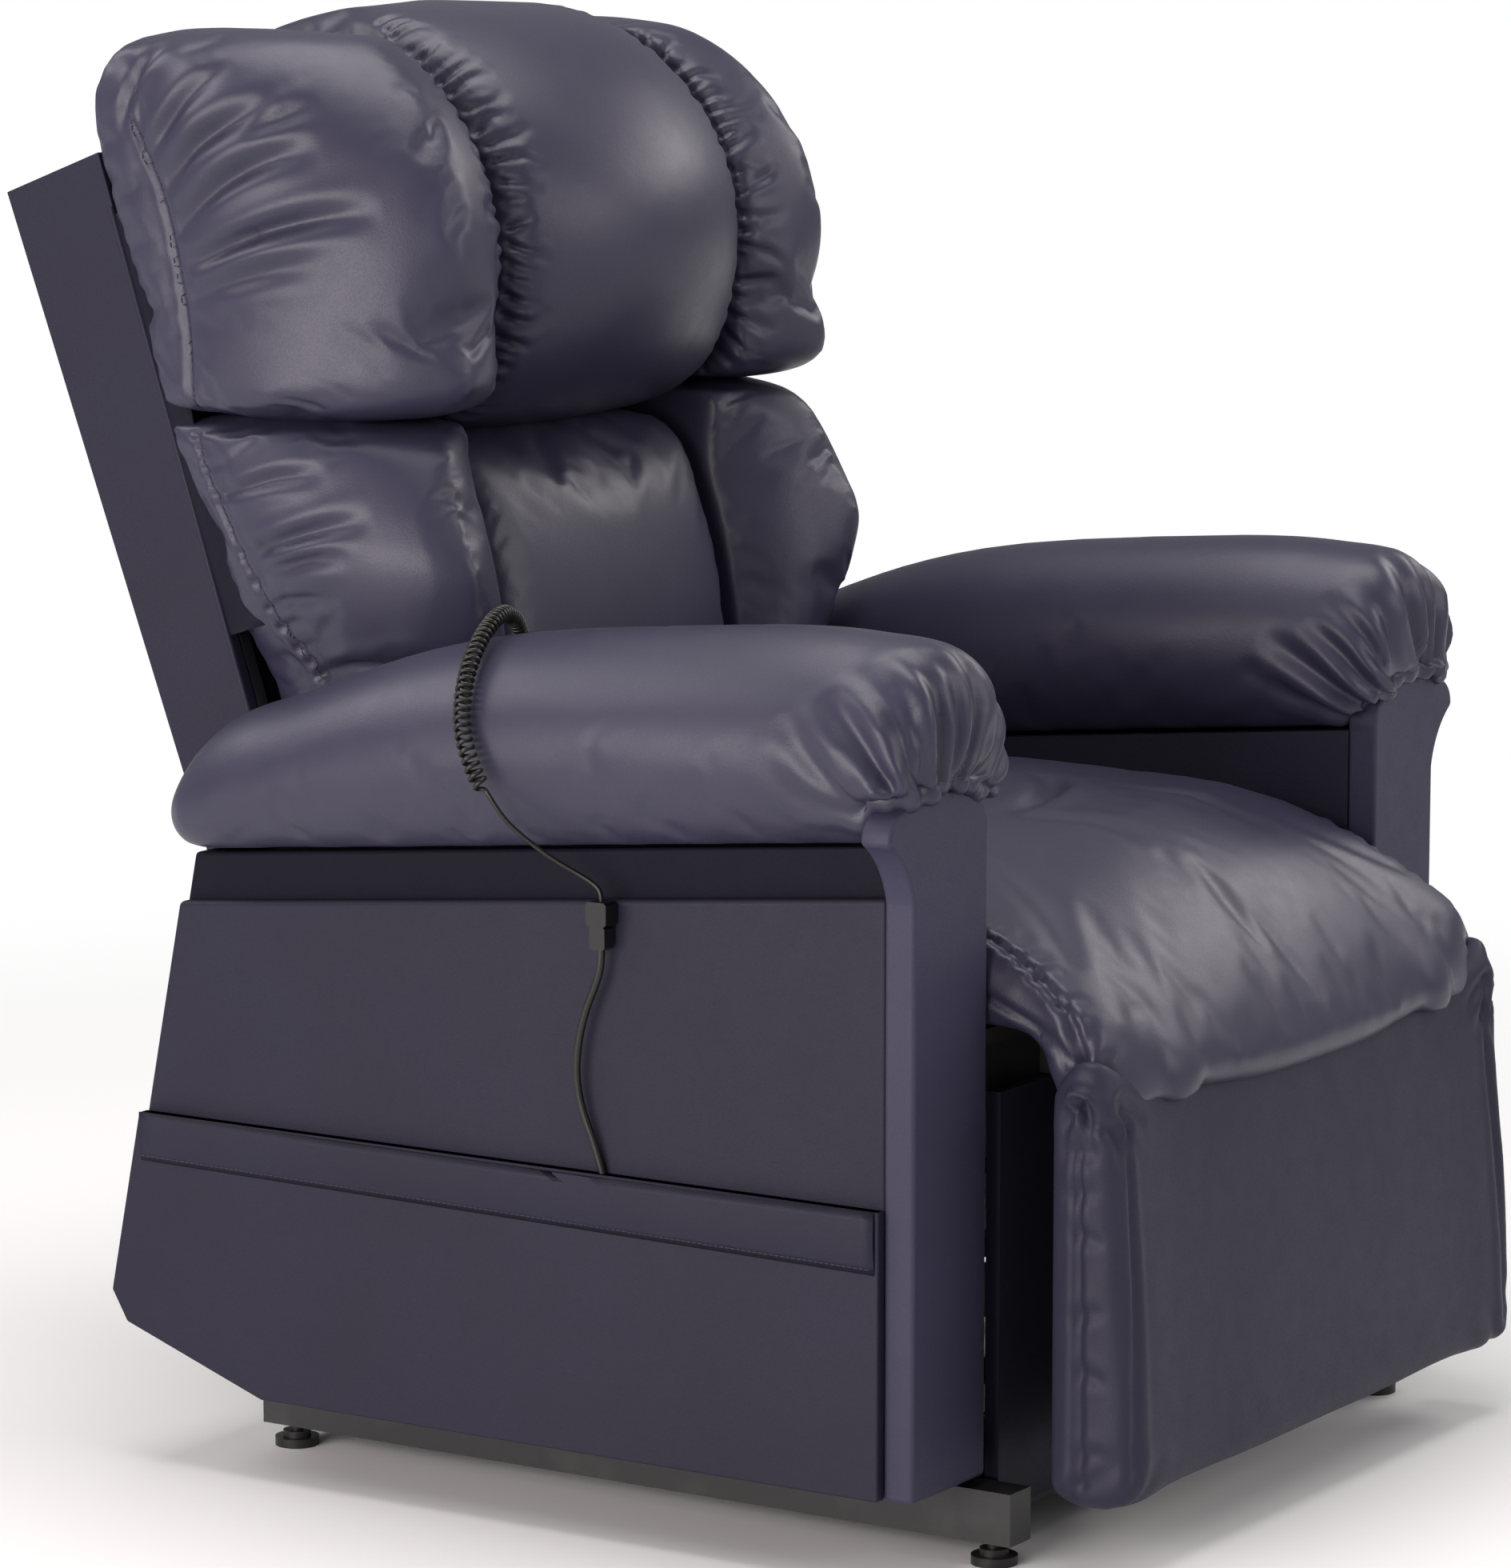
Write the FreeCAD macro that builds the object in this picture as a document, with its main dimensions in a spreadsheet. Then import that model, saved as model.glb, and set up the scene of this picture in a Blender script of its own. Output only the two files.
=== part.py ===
import FreeCAD, Part
import math
import os
import re
import Sketcher
from FreeCAD import Vector

# A powered lift recliner. Millimetres, +Z up. The sitter faces -Y and the sitter's right is -X.
# The floor is z = 0, x = 0 is the middle plane and the depth is centred on y = 0.

doc = FreeCAD.newDocument("LiftRecliner")
sheet = doc.addObject("Spreadsheet::Sheet", "Sizes")
size = {}
nodes = {}


def define(alias, number, meaning):
    """one driving size: a plain number in the sheet, its alias and what it means"""
    row = str(len(size) + 1)
    sheet.set("A" + row, meaning)
    sheet.set("B" + row, repr(float(number)))
    sheet.setAlias("B" + row, alias)
    size[alias] = float(number)


def bind(thing, path, text):
    """tie a property to an expression in which each alias stands for its cell"""
    full = re.sub(r"[a-z_]+", lambda m: "Sizes." + m.group() if m.group() in size else m.group(), text)
    thing.setExpression(path, full)


def value(text):
    """the present value of such an expression"""
    sheet.set("D1", "=" + text)
    sheet.recompute()
    return float(sheet.get("D1"))


def keep(label, thing):
    """a finished piece: its label names its file"""
    thing.Label = label
    nodes[label] = thing


def box(name, x, y, z):
    """a block between two expressions on each axis"""
    block = doc.addObject("Part::Box", name)
    for side, (low, high), axis in (("Length", x, "x"), ("Width", y, "y"), ("Height", z, "z")):
        bind(block, side, "(%s) - (%s)" % (high, low))
        bind(block, "Placement.Base." + axis, low)
    return block


def bar(name, radius, ends, along, first, second):
    """a round bar between two places along one axis, at two places on the other two axes"""
    round_bar = doc.addObject("Part::Cylinder", name)
    turn = {"x": (Vector(0, 1, 0), 90), "y": (Vector(1, 0, 0), -90), "z": (Vector(0, 0, 1), 0)}[along]
    round_bar.Placement = FreeCAD.Placement(Vector(), FreeCAD.Rotation(*turn))
    bind(round_bar, "Radius", radius)
    bind(round_bar, "Height", "(%s) - (%s)" % (ends[1], ends[0]))
    others = [axis for axis in "xyz" if axis != along]
    for axis, place in ((along, ends[0]), (others[0], first), (others[1], second)):
        bind(round_bar, "Placement.Base." + axis, place)
    return round_bar


def fuse(name, *parts):
    whole = doc.addObject("Part::MultiFuse", name)
    whole.Shapes = parts
    return whole


def cut(name, base, tool):
    rest = doc.addObject("Part::Cut", name)
    rest.Base = base
    rest.Tool = tool
    return rest


def group(name, *parts):
    """separate solids that share one node"""
    pieces = doc.addObject("Part::Compound", name)
    pieces.Links = parts
    return pieces


def form(name, shape):
    """a piece whose shape is worked out here from the sheet's sizes"""
    feature = doc.addObject("Part::Feature", name)
    feature.Shape = shape
    return feature


def plate(name, x, points, holes=()):
    """a flat plate in the Y-Z plane between two x: a closed outline and round holes"""
    body = doc.addObject("PartDesign::Body", name)
    outline = body.newObject("Sketcher::SketchObject", name + "_outline")
    plane = [item for item in body.Origin.OriginFeatures if item.Role == "YZ_Plane"][0]
    outline.AttachmentSupport = (plane, [""])
    outline.MapMode = "FlatFace"
    spots = [Vector(value(along_y), value(along_z), 0) for along_y, along_z in points]
    count = len(spots)
    for index in range(count):
        outline.addGeometry(Part.LineSegment(spots[index], spots[(index + 1) % count]), False)
    for index in range(count):
        outline.addConstraint(Sketcher.Constraint("Coincident", index, 2, (index + 1) % count, 1))
    targets = [(index, 1, points[index], spots[index]) for index in range(count)]
    for along_y, along_z, radius in holes:
        centre = Vector(value(along_y), value(along_z), 0)
        ring = outline.addGeometry(Part.Circle(centre, Vector(0, 0, 1), value(radius)), False)
        number = outline.addConstraint(Sketcher.Constraint("Radius", ring, value(radius)))
        bind(outline, "Constraints[%d]" % number, radius)
        targets.append((ring, 3, (along_y, along_z), centre))
    for shape_number, point_number, texts, spot in targets:
        for kind, text, place in (("DistanceX", texts[0], spot.x), ("DistanceY", texts[1], spot.y)):
            rule = Sketcher.Constraint(kind, -1, 1, shape_number, point_number, place)
            bind(outline, "Constraints[%d]" % outline.addConstraint(rule), text)
    pad = body.newObject("PartDesign::Pad", name + "_pad")
    pad.Profile = outline
    bind(pad, "Length", "(%s) - (%s)" % (x[1], x[0]))
    body.Tip = pad
    bind(body, "Placement.Base.x", x[0])
    return body


def link(name, x, start, end, radius, start_bore="", end_bore=""):
    """a flat link with round ends between two points of the Y-Z plane, with a bore at either end"""
    reach = "sqrt(((%s) - (%s))^2 + ((%s) - (%s))^2)" % (end[0], start[0], end[1], start[1])
    wide = "(%s) - (%s)" % (x[1], x[0])
    web = box(name + "_web", ("0", wide), ("0", reach), ("-1 * (%s)" % radius, radius))
    solid = fuse(name + "_solid", web, bar(name + "_start", radius, ("0", wide), "x", "0", "0"),
                 bar(name + "_end", radius, ("0", wide), "x", reach, "0"))
    for tag, place, bore in (("start", "0", start_bore), ("end", reach, end_bore)):
        if bore:
            hole = bar(name + "_bore_" + tag, bore, ("0", wide), "x", place, "0")
            solid = cut(name + "_cut_" + tag, solid, hole)
    rise = value(end[1]) - value(start[1])
    run = value(end[0]) - value(start[0])
    turn = FreeCAD.Rotation(Vector(1, 0, 0), math.degrees(math.atan2(rise, run)))
    solid.Placement = FreeCAD.Placement(Vector(), turn)
    for axis, place in (("x", x[0]), ("y", start[0]), ("z", start[1])):
        bind(solid, "Placement.Base." + axis, place)
    return solid


def both_sides(maker, low, high):
    """the same plate on the right (-X) and on the left (+X), between two distances from the middle"""
    return (maker("right", ("-1 * (%s)" % high, "-1 * (%s)" % low)), maker("left", (low, high)))


# Base frame: two floor rails and three crossbars
define("rail_inner", 293, "middle plane to a rail's inner face")
define("rail_width", 30, "width of a rail")
define("rail_height", 40, "height of a rail and of a crossbar")
define("foot_height", 18, "floor to the underside of the rails")
define("rail_front", -425, "front end of the rails")
define("rail_back", 262, "rear end of the rails")
define("crossbar_width", 30, "width of a crossbar")
define("front_crossbar_y", -376, "front face of the front crossbar")
define("middle_crossbar_y", -314, "front face of the middle crossbar")
define("rear_crossbar_y", 228, "front face of the rear crossbar")
define("foot_radius", 17.5, "radius of a foot's disc")
define("foot_disc", 7, "thickness of a foot's disc")
define("foot_nut_radius", 11, "radius of the lock nut on a foot")
define("foot_nut", 5, "height of the lock nut on a foot")
define("foot_stem_radius", 5, "radius of a foot's threaded stem")
define("foot_inset", 22, "rail end to a foot's centre")

# Lift linkage: four pivots on each side, seen from the side
define("base_front_y", -350, "front link's pivot on the base")
define("base_front_z", 78, "its height")
define("chassis_front_y", -159.5, "front link's pivot on the chassis")
define("chassis_front_z", 77.5, "its height")
define("base_rear_y", -298.6, "rear link's pivot on the base")
define("base_rear_z", 98.1, "its height")
define("chassis_rear_y", 122.9, "rear link's pivot on the chassis")
define("chassis_rear_z", 131.1, "its height")
define("link_thick", 6, "thickness of links, ears and chassis plates")
define("link_radius", 17, "half the width of a lift link")
define("layer_gap", 2, "space between two links side by side")
define("shaft_radius", 10, "radius of the two lift shafts")
define("pin_radius", 6, "radius of every pivot pin")
define("running_gap", 0.05, "radial clearance of a pin or a shaft that turns")
define("open_pivot_gap", 0.6, "radial clearance at the chassis end of the rear links")
define("body_gap", 0.3, "clearance between pieces that move past each other")

# Chassis
define("inner_face", 309, "middle plane to an inner arm panel's face, half the seat opening")
define("deck_bottom", 385, "underside of the seat deck and top of the chassis plates")
define("deck_thick", 12, "thickness of the seat deck")
define("deck_front", -385, "front edge of the seat deck")
define("deck_back", 180, "rear edge of the seat deck")
define("bar_width", 30, "width of a chassis bar")
define("front_bar_y", -380, "front face of the front chassis bar")
define("front_bar_height", 50, "height of the front chassis bar")
define("rear_bar_y", 150, "front face of the rear chassis bar")
define("chassis_bar_height", 40, "height of the chassis bars behind the motors")
define("rear_bar_height", 36, "height of the rear chassis bar")
define("plate_bottom", 61, "lowest edge of the chassis plates")
define("kick_thick", 12, "thickness of the kick panel")
define("kick_half", 284, "half the width of the kick panel")
define("kick_bottom", 31, "lowest edge of the kick panel")
define("kick_lap", 14, "height by which the kick panel laps the front bar")

# Hinges of the footrest and of the back, seen from the side
define("footrest_hinge_y", -490, "footrest hinge")
define("footrest_hinge_z", 366, "its height")
define("footrest_travel", 85, "footrest travel in degrees")
define("back_hinge_y", 232, "back hinge")
define("back_hinge_z", 430, "its height")
define("back_travel", 52, "back travel in degrees")
define("lift_crank_travel", 41.1, "turn of the rear links over the whole lift in degrees")
define("lift_crank_angle", 70, "mean direction of the lift crank above the horizontal in degrees")
define("lift_crank", 140, "length of the lift crank")
define("footrest_crank", 116, "distance of the footrest's drive pin from its hinge")
define("back_crank", 110, "distance of the back's drive pin from its hinge")

# Actuators: a motor with a tube, and a rod with a slotted yoke that drives a crank pin
define("lift_actuator_x", 0, "lane of the lift actuator")
define("footrest_actuator_x", 120, "lane of the footrest actuator")
define("back_actuator_x", -120, "lane of the recline actuator")
define("crank_half", 5, "half the thickness of a crank")
define("yoke_inner", 6, "half the space between a yoke's two cheeks")
define("yoke_outer", 12, "half the width of a yoke")
define("yoke_nose", 16, "reach of a yoke beyond its pin")
define("yoke_corner", 12, "cut corners of a yoke's nose")
define("yoke_throat", 36, "depth of a yoke behind its pin")
define("yoke_wall", 7, "material above and below a yoke's slot")
define("yoke_heel", 12, "length of a yoke's solid end")
define("rod_radius", 10, "radius of an actuator's rod")
define("tube_radius", 18, "radius of an actuator's tube")
define("gearbox_length", 60, "length of an actuator's gearbox along its rod")
define("gearbox_half", 28, "half the height of an actuator's gearbox")
define("motor_radius", 23, "radius of an actuator's motor")
define("motor_length", 110, "length of an actuator's motor")
define("motor_offset", 45, "distance of an actuator's motor from its rod")
define("rod_overlap", 15, "end float of a rod in its tube at the short end")
define("tube_start", 70, "pin to tube at the short end of the lift and footrest actuators")
define("lift_tube", 290, "length of the lift actuator's tube")
define("lift_lug", 36, "length of the lift actuator's rear lug")
define("lug_half", 7, "half the thickness of that lug")
define("footrest_tube", 330, "length of the footrest actuator's tube")
define("back_tube", 280, "length of the recline actuator's tube")
define("back_tube_start", 152, "pin to tube of the recline actuator with the back upright")

# Arms, seen from the side: the panels' outline and the lines that the arm pad follows
define("side_outer", 410, "middle plane to an outer side panel's face")
define("panel_thick", 12, "thickness of the side panels")
define("arm_front_y", -395, "front face of the arm fronts")
define("arm_front_depth", 25, "thickness of an arm front")
define("panel_bottom", 66, "lowest edge of the side panels")
define("panel_flat_back", 190, "where the lower edge starts to rise towards the back")
define("panel_rear_y", 339, "rear lower corner of the side panels")
define("panel_rear_z", 118, "its height")
define("panel_top_rear_y", 272, "rear upper corner of the side panels")
define("panel_top_rear_z", 449, "its height")
define("panel_top_front_z", 509, "height of the side panels at the arm fronts")
define("panel_corner", 18, "rounding of the rear lower corner")
define("band_height", 37, "height of the recessed band between side panel and arm pad")
define("band_lap", 20, "lap of the band behind the side panel")
define("arm_back_depth", 10, "thickness of the board that closes the arm's back")
define("pocket_top", 281, "height of the side pocket's hem")
define("pocket_gap", 8, "room between side panel and pocket")
define("pocket_cloth", 2.5, "thickness of the pocket's cloth")
define("pocket_seam", 5, "width of the sewn edge of the pocket")

arm_inner_y = "arm_front_y + arm_front_depth"
slope_back = "((panel_rear_y - panel_top_rear_y) / (panel_top_rear_z - panel_rear_z))"
slope_top = "((panel_top_front_z - panel_top_rear_z) / (panel_top_rear_y - arm_front_y - arm_front_depth))"


def back_edge(height):
    """y of the arm's rear edge at a height"""
    return "panel_rear_y - %s * ((%s) - panel_rear_z)" % (slope_back, height)


def top_edge(along_y):
    """height of the side panel's upper edge at a y"""
    return "panel_top_front_z - %s * ((%s) - (%s))" % (slope_top, along_y, arm_inner_y)


# Floor rails, crossbars and the levelling feet under the rail ends
rail_top = "foot_height + rail_height"
rails = both_sides(
    lambda side, x: box("rail_" + side, x, ("rail_front", "rail_back"), ("foot_height", rail_top)),
    "rail_inner", "rail_inner + rail_width")
keep("base_rail_right", rails[0])
keep("base_rail_left", rails[1])

crossbars = []
for place in ("front", "middle", "rear"):
    front = place + "_crossbar_y"
    crossbars.append(box("crossbar_" + place, ("-1 * rail_inner", "rail_inner"),
                         (front, front + " + crossbar_width"), ("foot_height", rail_top)))
keep("base_crossbars", group("crossbars", *crossbars))

feet = []
for end, foot_y in (("front", "rail_front + foot_inset"), ("rear", "rail_back - foot_inset")):
    for side, sign in (("right", "-1"), ("left", "1")):
        foot_x = sign + " * (rail_inner + rail_width / 2)"
        name = "foot_%s_%s" % (end, side)
        disc = bar(name + "_disc", "foot_radius", ("0", "foot_disc"), "z", foot_x, foot_y)
        nut = bar(name + "_nut", "foot_nut_radius", ("foot_disc", "foot_disc + foot_nut"), "z", foot_x, foot_y)
        stem = bar(name + "_stem", "foot_stem_radius", ("foot_disc", "foot_height"), "z", foot_x, foot_y)
        feet.append(fuse(name, disc, nut, stem))
keep("levelling_feet", group("feet", *feet))


# Ears that stand on the rails and on the middle crossbar and carry the two lift shafts
def ear(name, x, along_y, height):
    wide = "(link_radius + 3)"
    outline = ((along_y + " - " + wide, rail_top), (along_y + " + " + wide, rail_top),
               (along_y + " + link_radius", height), (along_y + " + link_radius / 2", height + " + link_radius"),
               (along_y + " - link_radius / 2", height + " + link_radius"), (along_y + " - link_radius", height))
    return plate(name, x, outline, ((along_y, height, "shaft_radius + running_gap"),))


front_link_outer = "rail_inner - layer_gap"
rear_link_outer = "rail_inner - 2 * layer_gap - link_thick"
rear_ear_outer = "rail_inner - 4 * layer_gap - 2 * link_thick"
front_ears = both_sides(lambda side, x: ear("front_ear_" + side, x, "base_front_y", "base_front_z"),
                        "rail_inner", "rail_inner + link_thick")
rear_ears = both_sides(lambda side, x: ear("rear_ear_" + side, x, "base_rear_y", "base_rear_z"),
                       rear_ear_outer + " - link_thick", rear_ear_outer)
keep("link_ears", group("ears", *(front_ears + rear_ears)))

# Front links on their shaft
base_front = ("base_front_y", "base_front_z")
chassis_front = ("chassis_front_y", "chassis_front_z")
front_links = both_sides(
    lambda side, x: link("front_link_" + side, x, base_front, chassis_front, "link_radius",
                         "shaft_radius", "pin_radius + running_gap"),
    front_link_outer + " - link_thick", front_link_outer)
keep("front_links", group("front_link_pair", *front_links))
shaft_end = "(inner_face - link_thick - layer_gap)"
keep("front_link_shaft", bar("front_shaft", "shaft_radius", ("-1 * " + shaft_end, shaft_end), "x", *base_front))

# Rear links on their shaft; their chassis end is the open pivot of the four-bar linkage
base_rear = ("base_rear_y", "base_rear_z")
chassis_rear = ("chassis_rear_y", "chassis_rear_z")
rear_links = both_sides(
    lambda side, x: link("rear_link_" + side, x, base_rear, chassis_rear, "link_radius",
                         "shaft_radius", "pin_radius + open_pivot_gap"),
    rear_link_outer + " - link_thick", rear_link_outer)
keep("rear_links", group("rear_link_pair", *rear_links))


def crank_pin(pivot_y, pivot_z, radius, angle):
    """place of a crank's pin for a direction given in degrees above +Y"""
    return ("%s + %s * cos(%s)" % (pivot_y, radius, angle), "%s + %s * sin(%s)" % (pivot_z, radius, angle))


lift_start = "(lift_crank_angle - lift_crank_travel / 2)"
lift_pin = crank_pin("base_rear_y", "base_rear_z", "lift_crank", lift_start)
crank_x = ("lift_actuator_x - crank_half", "lift_actuator_x + crank_half")
pin_x = ("lift_actuator_x - yoke_outer", "lift_actuator_x + yoke_outer")
keep("rear_link_shaft", fuse(
    "rear_shaft",
    bar("rear_shaft_bar", "shaft_radius", ("-1 * (%s)" % rear_link_outer, rear_link_outer), "x", *base_rear),
    link("lift_crank_arm", crank_x, base_rear, lift_pin, "link_radius - 2"),
    bar("lift_crank_pin", "pin_radius", pin_x, "x", *lift_pin)))


# Actuators. Each is drawn with its yoke's slot at the origin and its rod running towards +Y
def yoke(name, crank, travel, rod_end):
    """rod with a fork whose slot takes the crank pin's small rise and fall"""
    rise = "%s * (1 - cos(%s / 2)) / 2" % (crank, travel)
    slot = "(pin_radius + body_gap + 0.064 * %s * (%s * pi / 360)^3)" % (crank, travel)
    tall = "(%s + %s + yoke_wall)" % (rise, slot)
    cheeks = []
    low = "-1 * " + tall
    outline = (("-1 * yoke_nose", low + " + yoke_corner"), ("yoke_corner - yoke_nose", low), ("yoke_throat", low),
               ("yoke_throat", tall), ("yoke_corner - yoke_nose", tall), ("-1 * yoke_nose", tall + " - yoke_corner"))
    for side, x in (("right", ("-1 * yoke_outer", "-1 * yoke_inner")), ("left", ("yoke_inner", "yoke_outer"))):
        cheeks.append(plate("%s_cheek_%s" % (name, side), x, outline))
    heel = box(name + "_heel", ("-1 * yoke_outer", "yoke_outer"),
               ("yoke_throat", "yoke_throat + yoke_heel"), (low, tall))
    shaft = bar(name + "_rod", "rod_radius", ("yoke_throat + yoke_heel", rod_end), "y", "0", "0")
    across = ("-1 * yoke_outer", "yoke_outer")
    opening = fuse(name + "_slot",
                   box(name + "_slot_middle", across, ("-1 * " + slot, slot), ("-1 * " + rise, rise)),
                   bar(name + "_slot_top", slot, across, "x", "0", rise),
                   bar(name + "_slot_foot", slot, across, "x", "0", "-1 * " + rise))
    return cut(name, fuse(name + "_solid", heel, shaft, *cheeks), opening)


def motor(name, tube_front, tube_length, lug):
    """tube, gearbox and motor in one housing, with the bore that the rod slides in"""
    tube_end = "(%s + %s)" % (tube_front, tube_length)
    box_end = "(%s + gearbox_length)" % tube_end
    parts = [
        bar(name + "_tube", "tube_radius", (tube_front, tube_end), "y", "0", "0"),
        box(name + "_gearbox", ("-1 * tube_radius - 4", "motor_offset + motor_radius"),
            (tube_end, box_end), ("-1 * gearbox_half", "gearbox_half")),
        bar(name + "_can", "motor_radius", (tube_end + " - motor_length", tube_end), "y", "motor_offset", "0")]
    if lug:
        parts.append(box(name + "_lug", ("-1 * lug_half", "lug_half"), (box_end, box_end + " + " + lug),
                         ("-1 * lug_radius", "lug_radius")))
    hollow = bar(name + "_bore", "rod_radius + running_gap", (tube_front, tube_end + " - 5"), "y", "0", "0")
    bored = cut(name + "_bored", fuse(name + "_solid", *parts), hollow)
    if lug:
        hole = bar(name + "_lug_hole", "pin_radius + running_gap", ("-1 * lug_half", "lug_half"), "x",
                   box_end + " + " + lug + " - lug_radius", "0")
        bored = cut(name + "_drilled", bored, hole)
    return bored


def place(thing, x, along_y, height, turn):
    thing.Placement = FreeCAD.Placement(Vector(), turn)
    for axis, text in (("x", x), ("y", along_y), ("z", height)):
        bind(thing, "Placement.Base." + axis, text)


def drive_line(pivot_y, pivot_z, crank, travel, angle, way):
    """where the yoke's slot lies at rest: on the line across the crank's mean direction"""
    out = "%s * (1 + cos(%s / 2)) / 2" % (crank, travel)
    along = "%d * %s * sin(%s / 2)" % (way, crank, travel)
    return ("%s + %s * cos(%s) - %s * sin(%s)" % (pivot_y, out, angle, along, angle),
            "%s + %s * sin(%s) + %s * cos(%s)" % (pivot_z, out, angle, along, angle))


define("lug_radius", 12, "half the height of the lift actuator's lug")
lift_line = drive_line("base_rear_y", "base_rear_z", "lift_crank", "lift_crank_travel", "lift_crank_angle", -1)
lift_turn = FreeCAD.Rotation(Vector(1, 0, 0), size["lift_crank_angle"] - 90)
lift_rod = yoke("lift_rod", "lift_crank", "lift_crank_travel", "tube_start + lift_tube - 5 - rod_overlap")
place(lift_rod, "lift_actuator_x", lift_line[0], lift_line[1], lift_turn)
keep("lift_rod", lift_rod)
lift_motor = motor("lift_motor", "tube_start", "lift_tube", "lift_lug")
place(lift_motor, "lift_actuator_x", lift_line[0], lift_line[1], lift_turn)
keep("lift_motor", lift_motor)

# Bracket on the rear crossbar that holds the lift actuator's lug by a pin
lug_reach = "(tube_start + lift_tube + gearbox_length + lift_lug - lug_radius)"
lug_y = "(%s + %s * sin(lift_crank_angle))" % (lift_line[0], lug_reach)
lug_z = "(%s - %s * cos(lift_crank_angle))" % (lift_line[1], lug_reach)
bracket_parts = []
for name, sign in (("right", -1), ("left", 1)):
    near = "lift_actuator_x + %d * (lug_half + body_gap)" % sign
    far = "lift_actuator_x + %d * (lug_half + body_gap + link_thick)" % sign
    bracket_parts.append(box("lift_bracket_" + name, (far, near) if sign < 0 else (near, far),
                             (lug_y + " - lug_radius", "rear_crossbar_y"),
                             (lug_z + " - lug_radius - 10", lug_z + " + lug_radius")))
bracket_reach = "(lug_half + body_gap + link_thick)"
bracket_parts.append(bar("lift_bracket_pin", "pin_radius",
                         ("lift_actuator_x - " + bracket_reach, "lift_actuator_x + " + bracket_reach),
                         "x", lug_y, lug_z))
keep("lift_motor_bracket", fuse("lift_bracket", *bracket_parts))

# Chassis: side plates, crossbars and the pins that the links turn on
plate_outline = (
    ("front_bar_y", "deck_bottom"), ("front_bar_y", "deck_bottom - front_bar_height"),
    ("chassis_front_y - 2 * link_radius", "plate_bottom"), ("chassis_front_y + 2 * link_radius", "plate_bottom"),
    ("chassis_rear_y - 3 * link_radius", "chassis_rear_z - link_radius - 2"),
    ("chassis_rear_y + 2 * link_radius", "chassis_rear_z - link_radius - 2"),
    ("back_hinge_y + link_radius", "deck_bottom - 50"), ("back_hinge_y + link_radius", "back_hinge_z + link_radius"),
    ("back_hinge_y - link_radius", "back_hinge_z + link_radius"),
    ("back_hinge_y - 2 * link_radius", "deck_bottom"))
plate_holes = (("chassis_front_y", "chassis_front_z", "pin_radius"),
               ("chassis_rear_y", "chassis_rear_z", "pin_radius"),
               ("back_hinge_y", "back_hinge_z", "pin_radius + running_gap"))
chassis_plates = both_sides(lambda side, x: plate("chassis_plate_" + side, x, plate_outline, plate_holes),
                            "inner_face - link_thick", "inner_face")
keep("chassis_plate_right", chassis_plates[0])
keep("chassis_plate_left", chassis_plates[1])

pins = []
for end, pin, start in (("front", chassis_front, front_link_outer + " - link_thick - body_gap"),
                        ("rear", chassis_rear, rear_link_outer + " - link_thick - body_gap")):
    for side, x in (("right", ("-1 * inner_face", "-1 * (%s)" % start)), ("left", (start, "inner_face"))):
        pins.append(bar("pin_%s_%s" % (end, side), "pin_radius", x, "x", *pin))
keep("chassis_pivot_pins", group("pivot_pins", *pins))

# The two actuators in the chassis push against crossbars behind their gearboxes
footrest_line = drive_line("footrest_hinge_y", "footrest_hinge_z", "footrest_crank", "footrest_travel", "270", 1)
back_line = drive_line("back_hinge_y", "back_hinge_z", "back_crank", "back_travel", "270", 1)
footrest_end = "(%s + tube_start + footrest_tube + gearbox_length)" % footrest_line[0]
back_end = "(%s - back_tube_start - back_tube - gearbox_length)" % back_line[0]
footrest_rod = yoke("footrest_rod", "footrest_crank", "footrest_travel",
                    "tube_start + footrest_tube - 5 - rod_overlap")
footrest_motor = motor("footrest_motor", "tube_start", "footrest_tube", "")
upright_rod = "back_tube_start + back_tube - 5 - rod_overlap - 2 * back_crank * sin(back_travel / 2)"
back_rod = yoke("recline_rod", "back_crank", "back_travel", upright_rod)
back_motor = motor("recline_motor", "back_tube_start", "back_tube", "")
straight = FreeCAD.Rotation()
about = FreeCAD.Rotation(Vector(0, 0, 1), 180)
for label, thing, lane, line, turn in (
        ("footrest_rod", footrest_rod, "footrest_actuator_x", footrest_line, straight),
        ("footrest_motor", footrest_motor, "footrest_actuator_x", footrest_line, straight),
        ("recline_rod", back_rod, "back_actuator_x", back_line, about),
        ("recline_motor", back_motor, "back_actuator_x", back_line, about)):
    place(thing, lane, line[0], line[1], turn)
    keep(label, thing)

between_plates = ("-1 * (inner_face - link_thick)", "inner_face - link_thick")
chassis_bars = [
    box("bar_front", between_plates, ("front_bar_y", "front_bar_y + bar_width"),
        ("deck_bottom - front_bar_height", "deck_bottom")),
    box("bar_rear", between_plates, ("rear_bar_y", "rear_bar_y + bar_width"),
        ("deck_bottom - rear_bar_height", "deck_bottom")),
    box("bar_footrest_motor", between_plates, (footrest_end, footrest_end + " + bar_width"),
        (footrest_line[1] + " - chassis_bar_height / 2", footrest_line[1] + " + chassis_bar_height / 2")),
    box("bar_recline_motor", between_plates, (back_end + " - bar_width", back_end),
        (back_line[1] + " - chassis_bar_height / 3", back_line[1] + " + chassis_bar_height * 2 / 3"))]
keep("chassis_bars", group("bars", *chassis_bars))
keep("seat_deck", box("deck", ("-1 * (inner_face - body_gap)", "inner_face - body_gap"),
                      ("deck_front", "deck_back"), ("deck_bottom", "deck_bottom + deck_thick")))

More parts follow.
